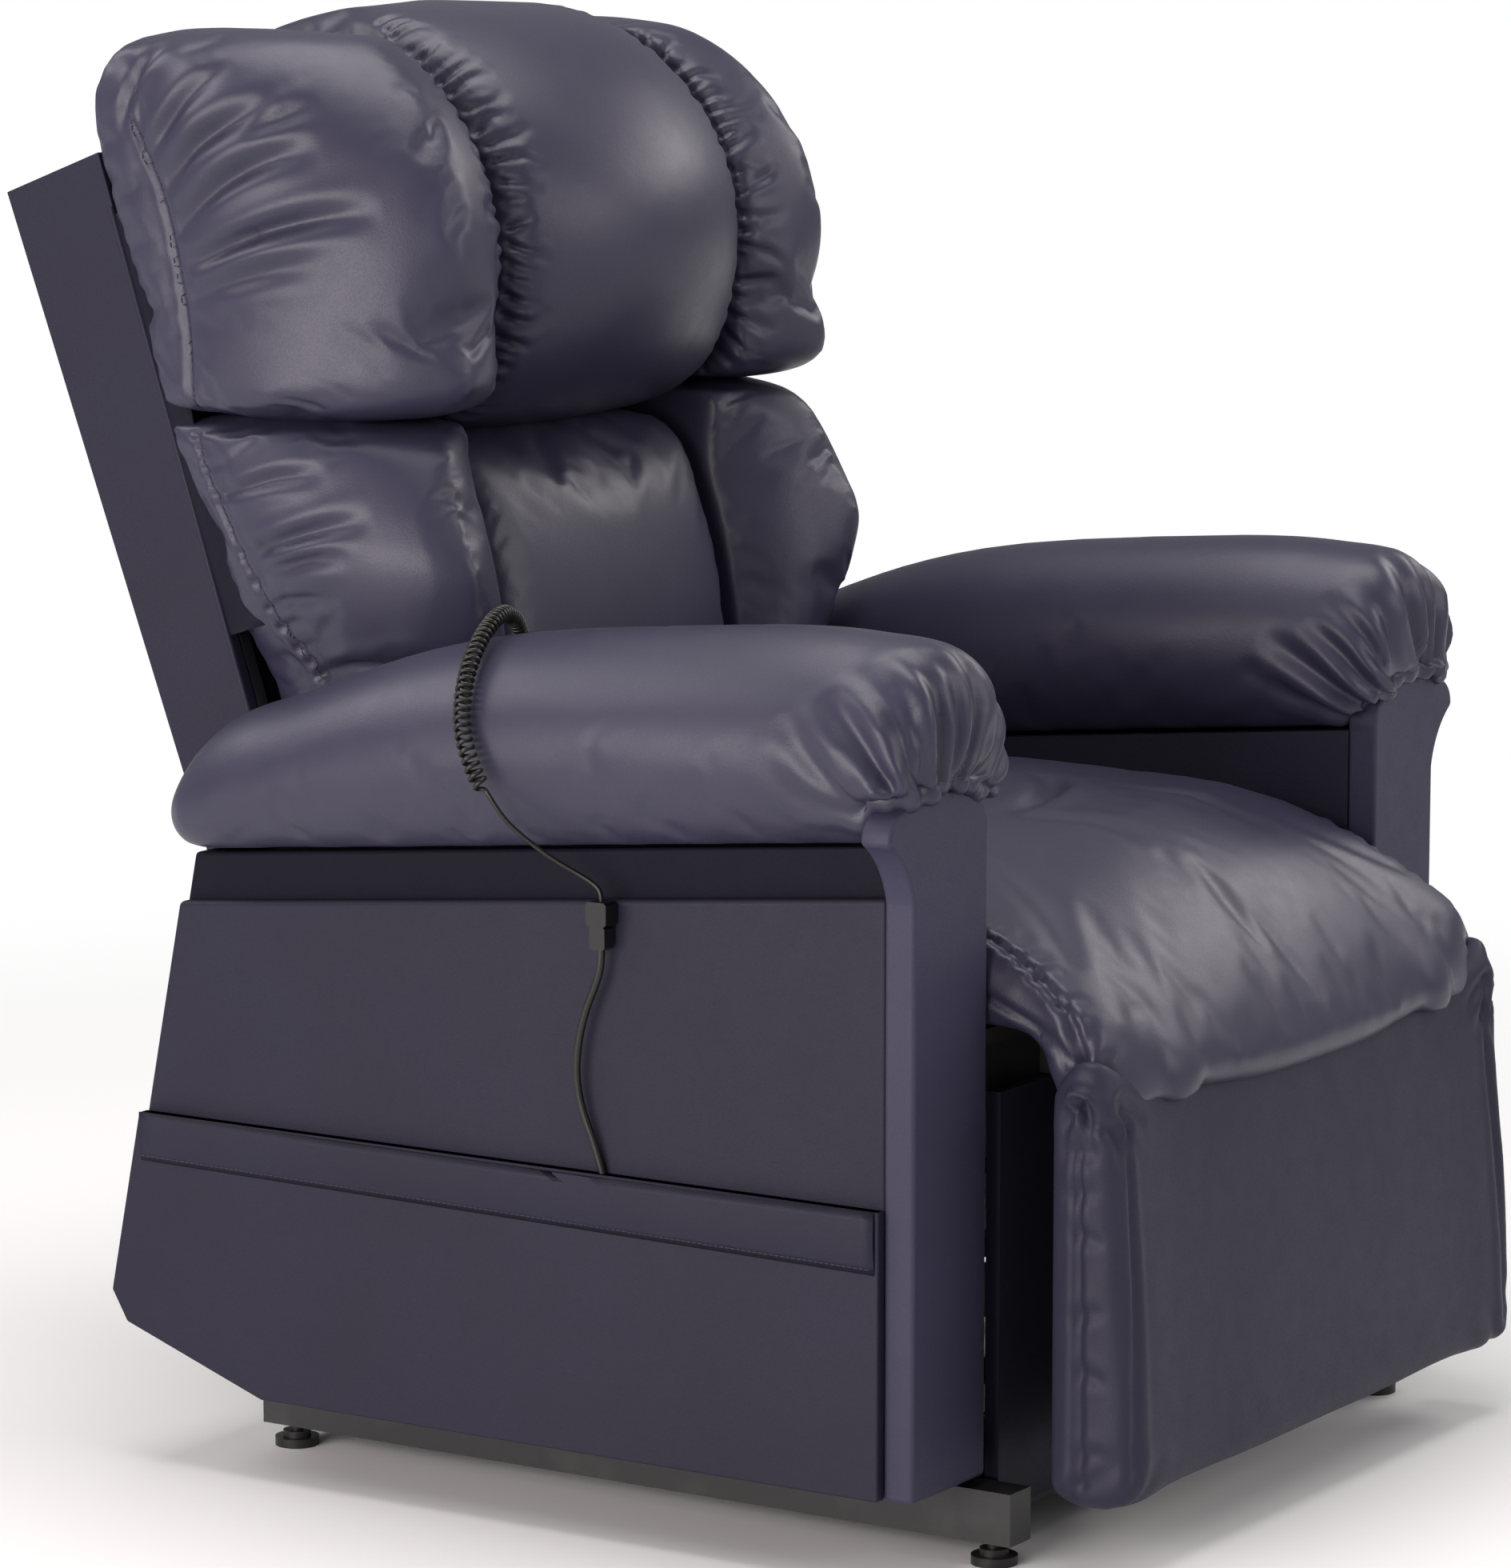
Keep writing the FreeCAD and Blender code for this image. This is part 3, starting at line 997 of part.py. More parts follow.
# height, half width, crown y, seam y
lumbar_levels = ((457, 158, 152, 176), (478, 165, 126, 152), (530, 169, 110, 134), (580, 170, 106, 130),
                 (636, 170, 112, 134), (690, 170, 126, 144), (740, 170, 145, 160), (775, 168, 163, 178),
                 (794, 160, 186, 204))
lumbar_wires = [centre_wire(z, wide * centre / 170, crown, edge, cushion_rear(z))
                for z, wide, crown, edge in lumbar_levels]
keep("lumbar_cushion", form("lumbar_form", Part.makeLoft(lumbar_wires, True, False)))

# height, half width, crown y, seam y, rear y measured from the shell's front edge
pillow_levels = ((796, 148, 206, 222, 0), (804, 160, 172, 194, 0), (828, 168, 126, 158, 0), (870, 170, 90, 134, 0),
                 (920, 170, 73, 124, 0), (965, 170, 73, 124, 0), (1005, 170, 85, 134, 0), (1042, 168, 108, 154, 2),
                 (1076, 163, 138, 182, -4), (1101, 156, 170, 212, -24), (1118, 145, 204, 242, -56),
                 (1128, 126, 240, 268, -98))
pillow_wires = [centre_wire(z, wide * centre / 170, crown, edge, cushion_rear(z) + back)
                for z, wide, crown, edge, back in pillow_levels]
keep("head_pillow", form("pillow_form", Part.makeLoft(pillow_wires, True, False)))

# height, inner seam y, crown y, crown x, outer seam y, outer seam x, rear y from the shell's front edge
lower_levels = ((457, 176, 155, 236, 196, 262, 0), (478, 146, 118, 244, 168, 276, 0), (530, 128, 98, 252, 152, 284, 0),
                (580, 126, 90, 258, 166, 285, 0), (610, 130, 82, 264, 206, 287, 0), (640, 136, 78, 270, 232, 300, 0),
                (690, 146, 78, 274, 268, 312, 0), (740, 162, 96, 272, 294, 317, 0), (778, 180, 130, 264, 312, 316, 0),
                (803, 198, 168, 250, 322, 309, 0), (813, 216, 196, 238, 324, 298, 0))
shoulder_levels = ((816, 212, 194, 238, 326, 298, 0), (830, 176, 150, 250, 326, 311, 0), (865, 146, 112, 258, 328, 318, 0),
                   (910, 130, 98, 262, 334, 320, 0), (960, 128, 99, 262, 343, 320, 0), (1000, 138, 112, 260, 354, 320, 0),
                   (1035, 158, 134, 254, 367, 319, 2), (1065, 186, 164, 244, 381, 316, 0),
                   (1084, 212, 192, 232, 388, 308, -10), (1098, 242, 228, 218, 384, 288, -26))
for name, levels in (("lower_bolster", lower_levels), ("shoulder_bolster", shoulder_levels)):
    wires = [side_wire(level[0], *level[1:6], cushion_rear(level[0]) + level[6]) for level in levels]
    shape = Part.makeLoft(wires, True, False)
    keep(name + "_left", form(name + "_form_left", shape))
    keep(name + "_right", form(name + "_form_right", mirrored(shape)))


# Control box under the seat deck, with the inlet for the supply lead in its right side
define("control_half", 60, "half the width of the control box")
define("control_front", 75, "front face of the control box")
define("control_depth", 68, "depth of the control box")
define("control_height", 34, "height of the control box")
define("inlet_wide", 22, "width of the power inlet")
define("inlet_tall", 14, "height of the power inlet")
define("inlet_deep", 14, "depth of the power inlet")
control_low = "deck_bottom - control_height"
inlet_y = "(control_front + control_depth / 2)"
inlet_z = "(deck_bottom - control_height / 2)"
control_case = box("control_case", ("-1 * control_half", "control_half"),
                   ("control_front", "control_front + control_depth"), (control_low, "deck_bottom"))
inlet = box("inlet", ("-1 * control_half", "inlet_deep - control_half"),
            (inlet_y + " - inlet_wide / 2", inlet_y + " + inlet_wide / 2"),
            (inlet_z + " - inlet_tall / 2", inlet_z + " + inlet_tall / 2"))
inlet_pins = [bar("inlet_pin_" + name, "inlet_tall / 10", ("3 - control_half", "inlet_deep - control_half"), "x",
                  inlet_y + sign + "inlet_wide / 5", inlet_z)
              for name, sign in (("front", " - "), ("rear", " + "))]
keep("control_box", fuse("control_solid", cut("control_case_open", control_case, inlet), *inlet_pins))

# Cover board that closes the rear of the arms' frame, between the two inner panels
define("cover_bottom", 122, "lower edge of the rear cover")
define("cover_top", 290, "upper edge of the rear cover")
define("cover_thick", 8, "thickness of the rear cover")
cover_outline = ((back_edge("cover_bottom") + " - cover_thick", "cover_bottom"),
                 (back_edge("cover_bottom"), "cover_bottom"), (back_edge("cover_top"), "cover_top"),
                 (back_edge("cover_top") + " - cover_thick", "cover_top"))
keep("rear_cover", plate("cover", ("-1 * inner_face", "inner_face"), cover_outline))

# Handset, drawn flat with the middle of its cord end at the origin, then laid on the seat's side slope
define("handset_length", 160, "length of the handset")
define("handset_width", 50, "width of the handset")
define("handset_thick", 24, "thickness of the handset")
define("handset_corner", 5, "rounding of the handset's long edges")
define("handset_x", -266, "middle of the handset")
define("handset_end", -15, "cord end of the handset")
define("rocker_radius", 9, "radius of a rocker about its pins")
define("rocker_sink", 6, "depth of a rocker's pins under the handset's face")
define("rocker_width", 26, "width of a rocker")
define("rocker_pin", 1.5, "radius of a rocker's pins")
define("rocker_pin_length", 2, "length of a rocker's pins")
define("rocker_pitch", 30, "distance between two rockers")
define("first_rocker", 44, "handset's cord end to the first rocker")
handset_outline = (
    ("0", "5"), ("0", "handset_thick - 7"), ("-10", "handset_thick"),
    ("-1 * first_rocker - 2.6 * rocker_pitch", "handset_thick"), ("-1 * handset_length", "handset_thick - 9"),
    ("-1 * handset_length", "6"), ("-1 * handset_length + 8", "0"), ("-8", "0"))
handset_body = plate("handset_case", ("handset_width / -2", "handset_width / 2"), handset_outline)
doc.recompute()
handset_pad = handset_body.Tip
side_edges = []
for number, edge in enumerate(handset_pad.Shape.Edges, 1):
    first, last = edge.Vertexes[0].Point, edge.Vertexes[-1].Point
    if abs(first.x - last.x) < 0.01:
        side_edges.append("Edge%d" % number)
handset_rounding = handset_body.newObject("PartDesign::Fillet", "handset_rounding")
handset_rounding.Base = (handset_pad, side_edges)
bind(handset_rounding, "Radius", "handset_corner")
handset_body.Tip = handset_rounding

pivot_height = "(handset_thick - rocker_sink)"
rocker_reach = "rocker_width / 2 + rocker_pin_length"
wells = []
rockers = []
for index, name in enumerate(("lift", "recline", "footrest")):
    along = "(-1 * first_rocker - %d * rocker_pitch)" % index
    spot = (along, pivot_height)
    well_half = "(rocker_width / 2 + body_gap)"
    wells.append(bar(name + "_well", "rocker_radius + body_gap", ("-1 * " + well_half, well_half), "x", *spot))
    bore_half = "(%s + body_gap)" % rocker_reach
    wells.append(bar(name + "_rocker_bore", "rocker_pin + running_gap", ("-1 * " + bore_half, bore_half), "x", *spot))
    drum = bar(name + "_drum", "rocker_radius", ("rocker_width / -2", "rocker_width / 2"), "x", *spot)
    under = box(name + "_under", ("rocker_width / -2", "rocker_width / 2"),
                (along + " - rocker_radius", along + " + rocker_radius"),
                (pivot_height + " - rocker_radius", pivot_height + " - rocker_pin - 1"))
    valley = bar(name + "_valley", "1.4 * rocker_radius", ("rocker_width / -2", "rocker_width / 2"), "x",
                 along, pivot_height + " + 2.27 * rocker_radius")
    pins_through = bar(name + "_rocker_pins", "rocker_pin", ("-1 * (%s)" % rocker_reach, rocker_reach), "x", *spot)
    rockers.append(fuse(name + "_rocker_solid",
                        cut(name + "_rocker_top", cut(name + "_rocker_cut", drum, under), valley), pins_through))
handset = cut("handset_solid", handset_body, fuse("wells", *wells))
# the seat's top falls away to the side by cushion_droop over cushion_half, as a parabola
handset_slope = 2 * size["cushion_droop"] * abs(size["handset_x"]) / size["cushion_half"] ** 2
handset_turn = FreeCAD.Rotation(Vector(0, 1, 0), -math.degrees(math.atan(handset_slope)))
seat_rises = []
for share_x in (-0.5, -0.25, 0, 0.25, 0.5):
    for share_y in (0, -0.25, -0.5, -0.75, -1):
        spot_x = size["handset_x"] + share_x * size["handset_width"]
        spot_y = size["handset_end"] + share_y * size["handset_length"]
        plumb = Part.makeLine(Vector(spot_x, spot_y, cushion_low + 10), Vector(spot_x, spot_y, crest))
        seat_top = max(corner.Z for corner in plumb.common(nodes["seat_cushion"].Shape).Vertexes)
        seat_rises.append(seat_top - handset_slope * (spot_x - size["handset_x"]))
handset_z = repr(round(max(seat_rises) + size["body_gap"] + 0.1, 2))
for label, thing in [("handset", handset)] + list(zip(("lift_rocker", "recline_rocker", "footrest_rocker"), rockers)):
    place(thing, "handset_x", "handset_end", handset_z, handset_turn)
    keep(label, thing)


# Curly cord from the handset over the right arm to the connector that hangs beside the arm
define("wire_radius", 1.8, "radius of the curly cord's wire")
define("curl_radius", 5.2, "radius of the curls at the middle of the wire")
define("cable_radius", 3, "radius of the lower cord")
define("connector_x", -420, "middle of the connector")
define("connector_y", -130, "middle of the connector, front to back")
define("connector_top", 487, "top of the connector")
define("connector_step", 18, "height of the connector's plug and of its socket")
define("connector_half", 7.5, "half the width of the connector's plug")
define("connector_depth", 9, "half the connector's plug, front to back")
define("gland_x", -413.8, "middle of the cord where it enters the gland")
define("gland_y", -128, "middle of the gland, front to back")
define("gland_top", 262, "top of the gland")
define("gland_half", 8, "half the gland, front to back")
define("gland_height", 22, "height of the gland")

lean = math.atan(handset_slope)
exit_height = size["handset_thick"] / 2
exit_x = size["handset_x"] - exit_height * math.sin(lean)
exit_z = float(handset_z) + exit_height * math.cos(lean)
top_x, top_y, top_z = size["connector_x"], size["connector_y"], size["connector_top"]
curly_route = [
    (exit_x, size["handset_end"], exit_z), (exit_x, 4, exit_z), (-268, 22, 513), (-271, 36, 528),
    (-275, 43, 550), (-279, 42, 577), (-284, 35, 609), (-294, 25, 643), (-316, 15, 673), (-347, 5, 686),
    (-379, -6, 684), (-410, -13, 670), (-437, -20, 645), (-455, -29, 614), (-461, -42, 587),
    (-459, -54, 564), (-452, -65, 547), (-442, -79, 531), (-432, -97, 516), (-423, -115, 505),
    (top_x, -126, 498), (top_x, top_y, top_z + 6), (top_x, top_y, top_z)]


def smooth_curve(points, count):
    """evenly spaced spots on the smooth curve of the second degree that the points steer"""
    curve = Part.BSplineCurve()
    ends = len(points) - 2
    curve.buildFromPolesMultsKnots([Vector(*spot) for spot in points], [3] + [1] * (ends - 1) + [3],
                                   list(range(ends + 1)), False, 2)
    return curve.discretize(Number=count)


def arc_from(spot, way, far):
    """a point half way along the arc that leaves spot along way and ends at far, and the arc's radius"""
    chord = far - spot
    across = chord - way * chord.dot(way)
    if across.Length < 1e-4 * chord.Length:
        return None, 1e9
    across.normalize()
    radius = chord.dot(chord) / (2 * chord.dot(across))
    hub = spot + across * radius
    out = (spot + far) * 0.5 - hub
    return hub + out * (radius / out.Length), radius


def biarcs(spots, ways):
    """two tangent arcs from each spot to the next, and the least radius among them"""
    edges = []
    least = 1e9
    for start, end, leave, arrive in zip(spots, spots[1:], ways, ways[1:]):
        gap = end - start
        both = leave + arrive
        spread = 2 * (1 - leave.dot(arrive))
        if spread < 1e-9:
            reach = gap.dot(gap) / (2 * gap.dot(both))
        else:
            reach = (math.sqrt(gap.dot(both) ** 2 + spread * gap.dot(gap)) - gap.dot(both)) / spread
        middle = ((start + leave * reach) + (end - arrive * reach)) * 0.5
        for first, last, bow in ((start, middle, arc_from(start, leave, middle)),
                                 (middle, end, arc_from(end, arrive * -1, middle))):
            if bow[0] is None:
                edges.append(Part.LineSegment(first, last).toShape())
            else:
                edges.append(Part.Arc(first, bow[0], last).toShape())
                least = min(least, bow[1])
    return edges, least


def tube(edges, radius):
    """a round tube along edges that run on smoothly, as a solid"""
    path = Part.Wire(edges)
    start = edges[0].valueAt(edges[0].FirstParameter)
    way = edges[0].tangentAt(edges[0].FirstParameter)
    section = Part.Wire(Part.Circle(start, way, radius).toShape())
    shape = path.makePipeShell([section], True, False)
    print("  tube %.0f mm long, volume is %.4f of section times length"
          % (path.Length, shape.Volume / (math.pi * radius ** 2 * path.Length)))
    return shape


# The middle line, its directions and a frame that is carried along it without twisting
define("first_pitch", 5.0, "pitch of the curls at the handset's end")
define("last_pitch", 6.6, "pitch of the curls at the connector's end")
define("plain_start", 62, "length of plain wire at the handset's end")
define("plain_end", 112, "length of plain wire at the connector's end")
define("curl_ramp", 20, "length over which the wire opens into curls")
wire = 2 * size["wire_radius"]
leaving = Vector(*curly_route[0]) + Vector(0, wire, 0)
arriving = Vector(*curly_route[-1]) + Vector(0, 0, wire)
line = smooth_curve([leaving] + curly_route[1:-1] + [arriving], 3001)
last = len(line) - 1
step = sum((line[i + 1] - line[i]).Length for i in range(last)) / last
along = []
for index in range(len(line)):
    way = line[min(index + 1, last)] - line[max(index - 1, 0)]
    along.append(way.normalize())
side_ways = [along[0].cross(Vector(1, 0, 0)).normalize()]
for way in along[1:]:
    carried = side_ways[-1] - way * way.dot(side_ways[-1])
    side_ways.append(carried.normalize())
line_length = last * step
curl_start = size["plain_start"]
curl_end = line_length - size["plain_end"]
spots = []
turns = 0.0
turn_at = []
for index, spot in enumerate(line):
    place_along = index * step
    inside_by = min(place_along - curl_start, curl_end - place_along) / size["curl_ramp"]
    open_share = min(max(inside_by, 0.0), 1.0)
    open_share = open_share ** 2 * (3 - 2 * open_share)
    share = min(max((place_along - curl_start) / (curl_end - curl_start), 0.0), 1.0)
    pitch = size["first_pitch"] + (size["last_pitch"] - size["first_pitch"]) * share
    turns += step / pitch * open_share ** 2
    turn_at.append(turns)
    angle = 2 * math.pi * turns
    other = along[index].cross(side_ways[index])
    offset = side_ways[index] * math.cos(angle) + other * math.sin(angle)
    spots.append(spot + offset * (size["curl_radius"] * open_share))

# Stations: a quarter of a turn apart in the curls, and 12 mm apart on the plain wire
picks = [0]
for index in range(1, last):
    turned = turn_at[index] - turn_at[picks[-1]]
    gone = (index - picks[-1]) * step
    if turned >= 0.25 or gone >= 12:
        picks.append(index)
if (last - picks[-1]) * step < 4:
    picks.pop()
picks.append(last)
ways = []
for index in picks:
    way = spots[min(index + 1, last)] - spots[max(index - 1, 0)]
    ways.append(way.normalize())
stations = [spots[index] for index in picks]
ways[0] = Vector(0, 1, 0)
ways[-1] = Vector(0, 0, -1)
curl_edges, tightest = biarcs(stations, ways)
curl_edges.insert(0, Part.LineSegment(Vector(*curly_route[0]), stations[0]).toShape())
curl_edges.append(Part.LineSegment(stations[-1], Vector(*curly_route[-1])).toShape())
print("curly cord: %.0f turns, middle line %.0f mm, least radius %.2f mm" % (turns, line_length, tightest))

# The least gap of the cord to itself, from spots a millimetre apart on its wire
walk = []
for edge in curl_edges:
    walk.extend(edge.discretize(Number=max(2, int(edge.Length)))[:-1])
turn_length = 2 * math.pi * size["curl_radius"]
apart = []
for first, spot in enumerate(walk):
    for other in walk[first + int(turn_length * 0.6):first + int(turn_length * 2.2)]:
        apart.append((spot - other).Length)
print("curly cord: least gap to itself %.2f mm" % (min(apart) - wire))
keep("curly_cord", form("curly_tube", tube(curl_edges, size["wire_radius"])))


# Connector, lower cord and the gland through which the cord goes into the arm
def chamfered(middle_y, half_y, low, high, corner):
    """outline of a block with cut corners, in the Y-Z plane"""
    left = "%s - %s" % (middle_y, half_y)
    right = "%s + %s" % (middle_y, half_y)
    return ((left, low + " + " + corner), (left + " + " + corner, low), (right + " - " + corner, low),
            (right, low + " + " + corner), (right, high + " - " + corner), (right + " - " + corner, high),
            (left + " + " + corner, high), (left, high + " - " + corner))


connector_middle = "connector_top - connector_step"
plug = plate("connector_plug", ("connector_x - connector_half", "connector_x + connector_half"),
             chamfered("connector_y", "connector_depth", connector_middle, "connector_top", "2"))
socket = plate("connector_socket", ("connector_x - connector_half * 0.8", "connector_x + connector_half * 0.8"),
               chamfered("connector_y", "connector_depth * 0.75", "connector_top - 2 * connector_step",
                         connector_middle, "2"))
keep("cord_connector", fuse("connector", plug, socket))
keep("cord_gland", plate(
    "gland", ("-1 * side_outer - 2 * (0 - gland_x - side_outer)", "-1 * side_outer"),
    chamfered("gland_y", "gland_half", "gland_top - gland_height", "gland_top", "2")))

lower_route = [
    (top_x, top_y, top_z - 2 * size["connector_step"]), (top_x, top_y, 439), (-420, -125, 424), (-420, -116, 405),
    (-420, -109, 380), (-419, -106, 354), (-417.5, -110, 329), (-415.8, -119, 306), (-414.5, -124.5, 288),
    (size["gland_x"], size["gland_y"], 273), (size["gland_x"], size["gland_y"], size["gland_top"])]


def rounded_runs(points, share=0.45):
    """straight runs joined by tangent arcs that are as large as the two runs at each point allow"""
    edges = []
    radii = []
    here = points[0]
    for before, corner, after in zip(points, points[1:], points[2:]):
        back, ahead = before - corner, after - corner
        reach = share * min(back.Length, ahead.Length)
        start = corner + back * (reach / back.Length)
        end = corner + ahead * (reach / ahead.Length)
        half_turn = (math.pi - back.getAngle(ahead)) / 2
        radius = reach / math.tan(half_turn)
        inward = (start + end) * 0.5 - corner
        bow = corner + inward * ((radius / math.cos(half_turn) - radius) / inward.Length)
        edges.append(Part.LineSegment(here, start).toShape())
        edges.append(Part.Arc(start, bow, end).toShape())
        radii.append(radius)
        here = end
    edges.append(Part.LineSegment(here, points[-1]).toShape())
    return edges, radii


lower_edges, lower_radii = rounded_runs([Vector(*spot) for spot in lower_route])
print("lower cord: radii " + " ".join("%.0f" % radius for radius in lower_radii))
keep("lower_cord", form("lower_tube", tube(lower_edges, size["cable_radius"])))
sheet.clear("D1")


# Every object and every shape is checked before anything is written
doc.recompute()
for thing in doc.Objects:
    if "Invalid" in thing.State or "Error" in thing.State:
        raise RuntimeError("not rebuilt: %s %s" % (thing.Name, thing.State))
for label, thing in nodes.items():
    if thing.Shape.isNull() or not thing.Shape.isValid():
        raise RuntimeError("bad shape: " + label)

os.makedirs("parts", exist_ok=True)
for label, thing in nodes.items():
    thing.Shape.exportStep("parts/%s.step" % label)
    volume = sum(solid.Volume for solid in thing.Shape.Solids)
    print("%-26s %2d solids %12.0f mm3" % (label, len(thing.Shape.Solids), volume))
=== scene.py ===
import bpy
import bmesh
import math
import numpy as np
import random
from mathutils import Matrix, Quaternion, Vector


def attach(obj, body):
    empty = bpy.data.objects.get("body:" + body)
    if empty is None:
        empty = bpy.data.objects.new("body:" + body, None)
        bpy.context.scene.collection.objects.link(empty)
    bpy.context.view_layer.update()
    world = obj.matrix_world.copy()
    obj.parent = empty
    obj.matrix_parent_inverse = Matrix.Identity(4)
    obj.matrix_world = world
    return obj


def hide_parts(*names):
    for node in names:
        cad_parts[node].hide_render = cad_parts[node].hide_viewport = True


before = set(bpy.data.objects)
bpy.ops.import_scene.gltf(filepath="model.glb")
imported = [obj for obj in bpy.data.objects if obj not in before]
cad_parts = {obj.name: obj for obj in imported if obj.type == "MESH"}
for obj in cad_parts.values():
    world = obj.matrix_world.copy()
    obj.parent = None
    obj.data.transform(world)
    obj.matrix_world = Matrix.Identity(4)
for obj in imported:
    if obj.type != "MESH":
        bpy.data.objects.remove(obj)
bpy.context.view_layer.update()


# The camera stands low at the occupant's right, well back, with a long lens.
# It looks a little down on the chair, whose near front corner it faces.
def placed(name, data):
    """An object at the origin that shows a mesh, a lamp or a camera."""
    made = bpy.data.objects.new(name, data)
    bpy.context.scene.collection.objects.link(made)
    return made


camera_data = bpy.data.cameras.new("camera")
camera_data.lens = 140.79
camera_data.sensor_width = 36
camera = placed("camera", camera_data)
camera.location = (-4.1061, -2.6315, 1.2399)
camera_azimuth = math.radians(-57.3)
camera_height = math.radians(8.5)
view_back = Vector((
    math.sin(camera_azimuth) * math.cos(camera_height),
    -math.cos(camera_azimuth) * math.cos(camera_height),
    math.sin(camera_height),
))
camera.rotation_euler = (-view_back).to_track_quat("-Z", "Y").to_euler()
bpy.context.scene.camera = camera
bpy.context.scene.view_settings.view_transform = "Standard"


class Tone:
    """One output of a material's nodes, on which sums can be written."""

    def __init__(self, tree, socket):
        self.tree = tree
        self.socket = socket

    @classmethod
    def node(cls, tree, kind, settings, inputs, output=0):
        """A node with its settings made first, then its values and links."""
        made = tree.nodes.new("ShaderNode" + kind)
        for name, value in settings.items():
            setattr(made, name, value)
        for name, value in inputs.items():
            if isinstance(value, cls):
                tree.links.new(value.socket, made.inputs[name])
            else:
                made.inputs[name].default_value = value
        return cls(tree, made.outputs[output])

    def sum(self, operation, first, second):
        """A sum of two values, as one Math node."""
        return Tone.node(self.tree, "Math", {"operation": operation}, {0: first, 1: second})

    def __add__(self, other):
        return self.sum("ADD", self, other)

    def __radd__(self, other):
        return self.sum("ADD", other, self)

    def __sub__(self, other):
        return self.sum("SUBTRACT", self, other)

    def __rsub__(self, other):
        return self.sum("SUBTRACT", other, self)

    def __mul__(self, other):
        return self.sum("MULTIPLY", self, other)

    def __rmul__(self, other):
        return self.sum("MULTIPLY", other, self)


def new_material(name):
    """An empty material and its surface node."""
    material = bpy.data.materials.new(name)
    material.use_nodes = True
    tree = material.node_tree
    return material, tree, tree.nodes["Principled BSDF"]


# The floor and backdrop are plain and pale. The floor is a wide sheet that
# keeps the chair's shadow and turns to white further out.
def built(name, build):
    """The object of a finished bmesh."""
    mesh = bpy.data.meshes.new(name)
    build.to_mesh(mesh)
    build.free()
    return placed(name, mesh)


build = bmesh.new()
bmesh.ops.create_grid(build, x_segments=1, y_segments=1, size=14)
floor = built("floor", build)
floor_paint, tree, surface = new_material("floor_paint")
surface.inputs["Base Color"].default_value = (0.8, 0.8, 0.8, 1)
surface.inputs["Roughness"].default_value = 0.6
spot = Tone.node(tree, "TexCoord", {}, {}, "Object")
reach = Tone.node(tree, "VectorMath", {"operation": "LENGTH"}, {0: spot}, "Value")
fade = Tone.node(tree, "MapRange", {"interpolation_type": "SMOOTHSTEP"},
                 {"Value": reach, "From Min": 0.8, "From Max": 2.6})
ray = tree.nodes.new("ShaderNodeLightPath")
seen = (Tone(tree, ray.outputs["Is Camera Ray"]) + Tone(tree, ray.outputs["Is Glossy Ray"])
        + Tone(tree, ray.outputs["Is Transmission Ray"]))
white = Tone.node(tree, "Emission", {}, {"Color": (1, 1, 1, 1), "Strength": 1.0})
paint = Tone(tree, surface.outputs[0])
mixed = Tone.node(tree, "MixShader", {}, {0: fade * seen, 1: paint, 2: white})
tree.links.new(mixed.socket, tree.nodes["Material Output"].inputs["Surface"])
floor.data.materials.append(floor_paint)

# The room is even and soft, and white only where the camera looks past the
# chair. Five square lamps with soft edges stand round it and above it.
room = bpy.data.worlds.new("room")
room.use_nodes = True
bpy.context.scene.world = room
tree = room.node_tree
ray = tree.nodes.new("ShaderNodeLightPath")
seen = (Tone(tree, ray.outputs["Is Camera Ray"]) + Tone(tree, ray.outputs["Is Transmission Ray"]))
room_light = 0.26
strength = seen * (1 - room_light) + room_light
tree.links.new(strength.socket, tree.nodes["Background"].inputs["Strength"])
tree.nodes["Background"].inputs["Color"].default_value = (1, 1, 1, 1)


def soft_light(name, place, target, size, power, colour):
    """A square studio lamp at a place, turned to a target."""
    data = bpy.data.lights.new(name, "AREA")
    data.shape = "RECTANGLE"
    data.size, data.size_y = size
    data.energy = power
    data.color = colour
    lamp = placed(name, data)
    lamp.location = place
    lamp.rotation_euler = (Vector(target) - Vector(place)).to_track_quat("-Z", "Y").to_euler()


warm = (1.0, 0.92, 0.9)
pale_warm = (1.0, 0.95, 0.95)
nearly_white = (1.0, 0.97, 0.95)
soft_light("side_lamp", (-3.5, 0.4, 1.0), (0, 0.4, 0.8), (3.3, 1.8), 140, warm)
soft_light("far_lamp", (2.75, -1.35, 2.4), (0, 0, 0.6), (2.6, 1.0), 39, pale_warm)
soft_light("front_lamp", (0.5, -3.4, 1.9), (0, 0, 0.6), (2.4, 1.4), 42, pale_warm)
soft_light("top_lamp", (0.0, 0.1, 3.4), (0, 0, 0.5), (2.4, 2.4), 87, nearly_white)
soft_light("rear_lamp", (-1.2, 2.6, 2.9), (-0.2, 0, 0.7), (2.6, 1.2), 46, pale_warm)


# The curly handset lead is a thin two-core cable wound into a springy helix.
# Its plain ends leave the handset and reach the plug of the connector.
def spline_mesh(name, points, radius, between):
    """The mesh of a smooth spline through a cord's own points: a round tube, or a bare line."""
    curve = bpy.data.curves.new(name, "CURVE")
    curve.dimensions = "3D"
    spline = curve.splines.new("NURBS")
    spline.points.add(len(points) - 1)
    for point, place in zip(spline.points, points):
        point.co = (*place, 1)
    spline.order_u = 3
    spline.use_endpoint_u = True
    spline.resolution_u = between
    curve.resolution_u = between
    curve.bevel_depth = radius
    curve.bevel_resolution = 3
    curve.use_fill_caps = radius > 0
    drawn = bpy.data.objects.new(name, curve)
    mesh = bpy.data.meshes.new_from_object(drawn)
    mesh.name = name
    bpy.data.objects.remove(drawn)
    bpy.data.curves.remove(curve)
    return mesh


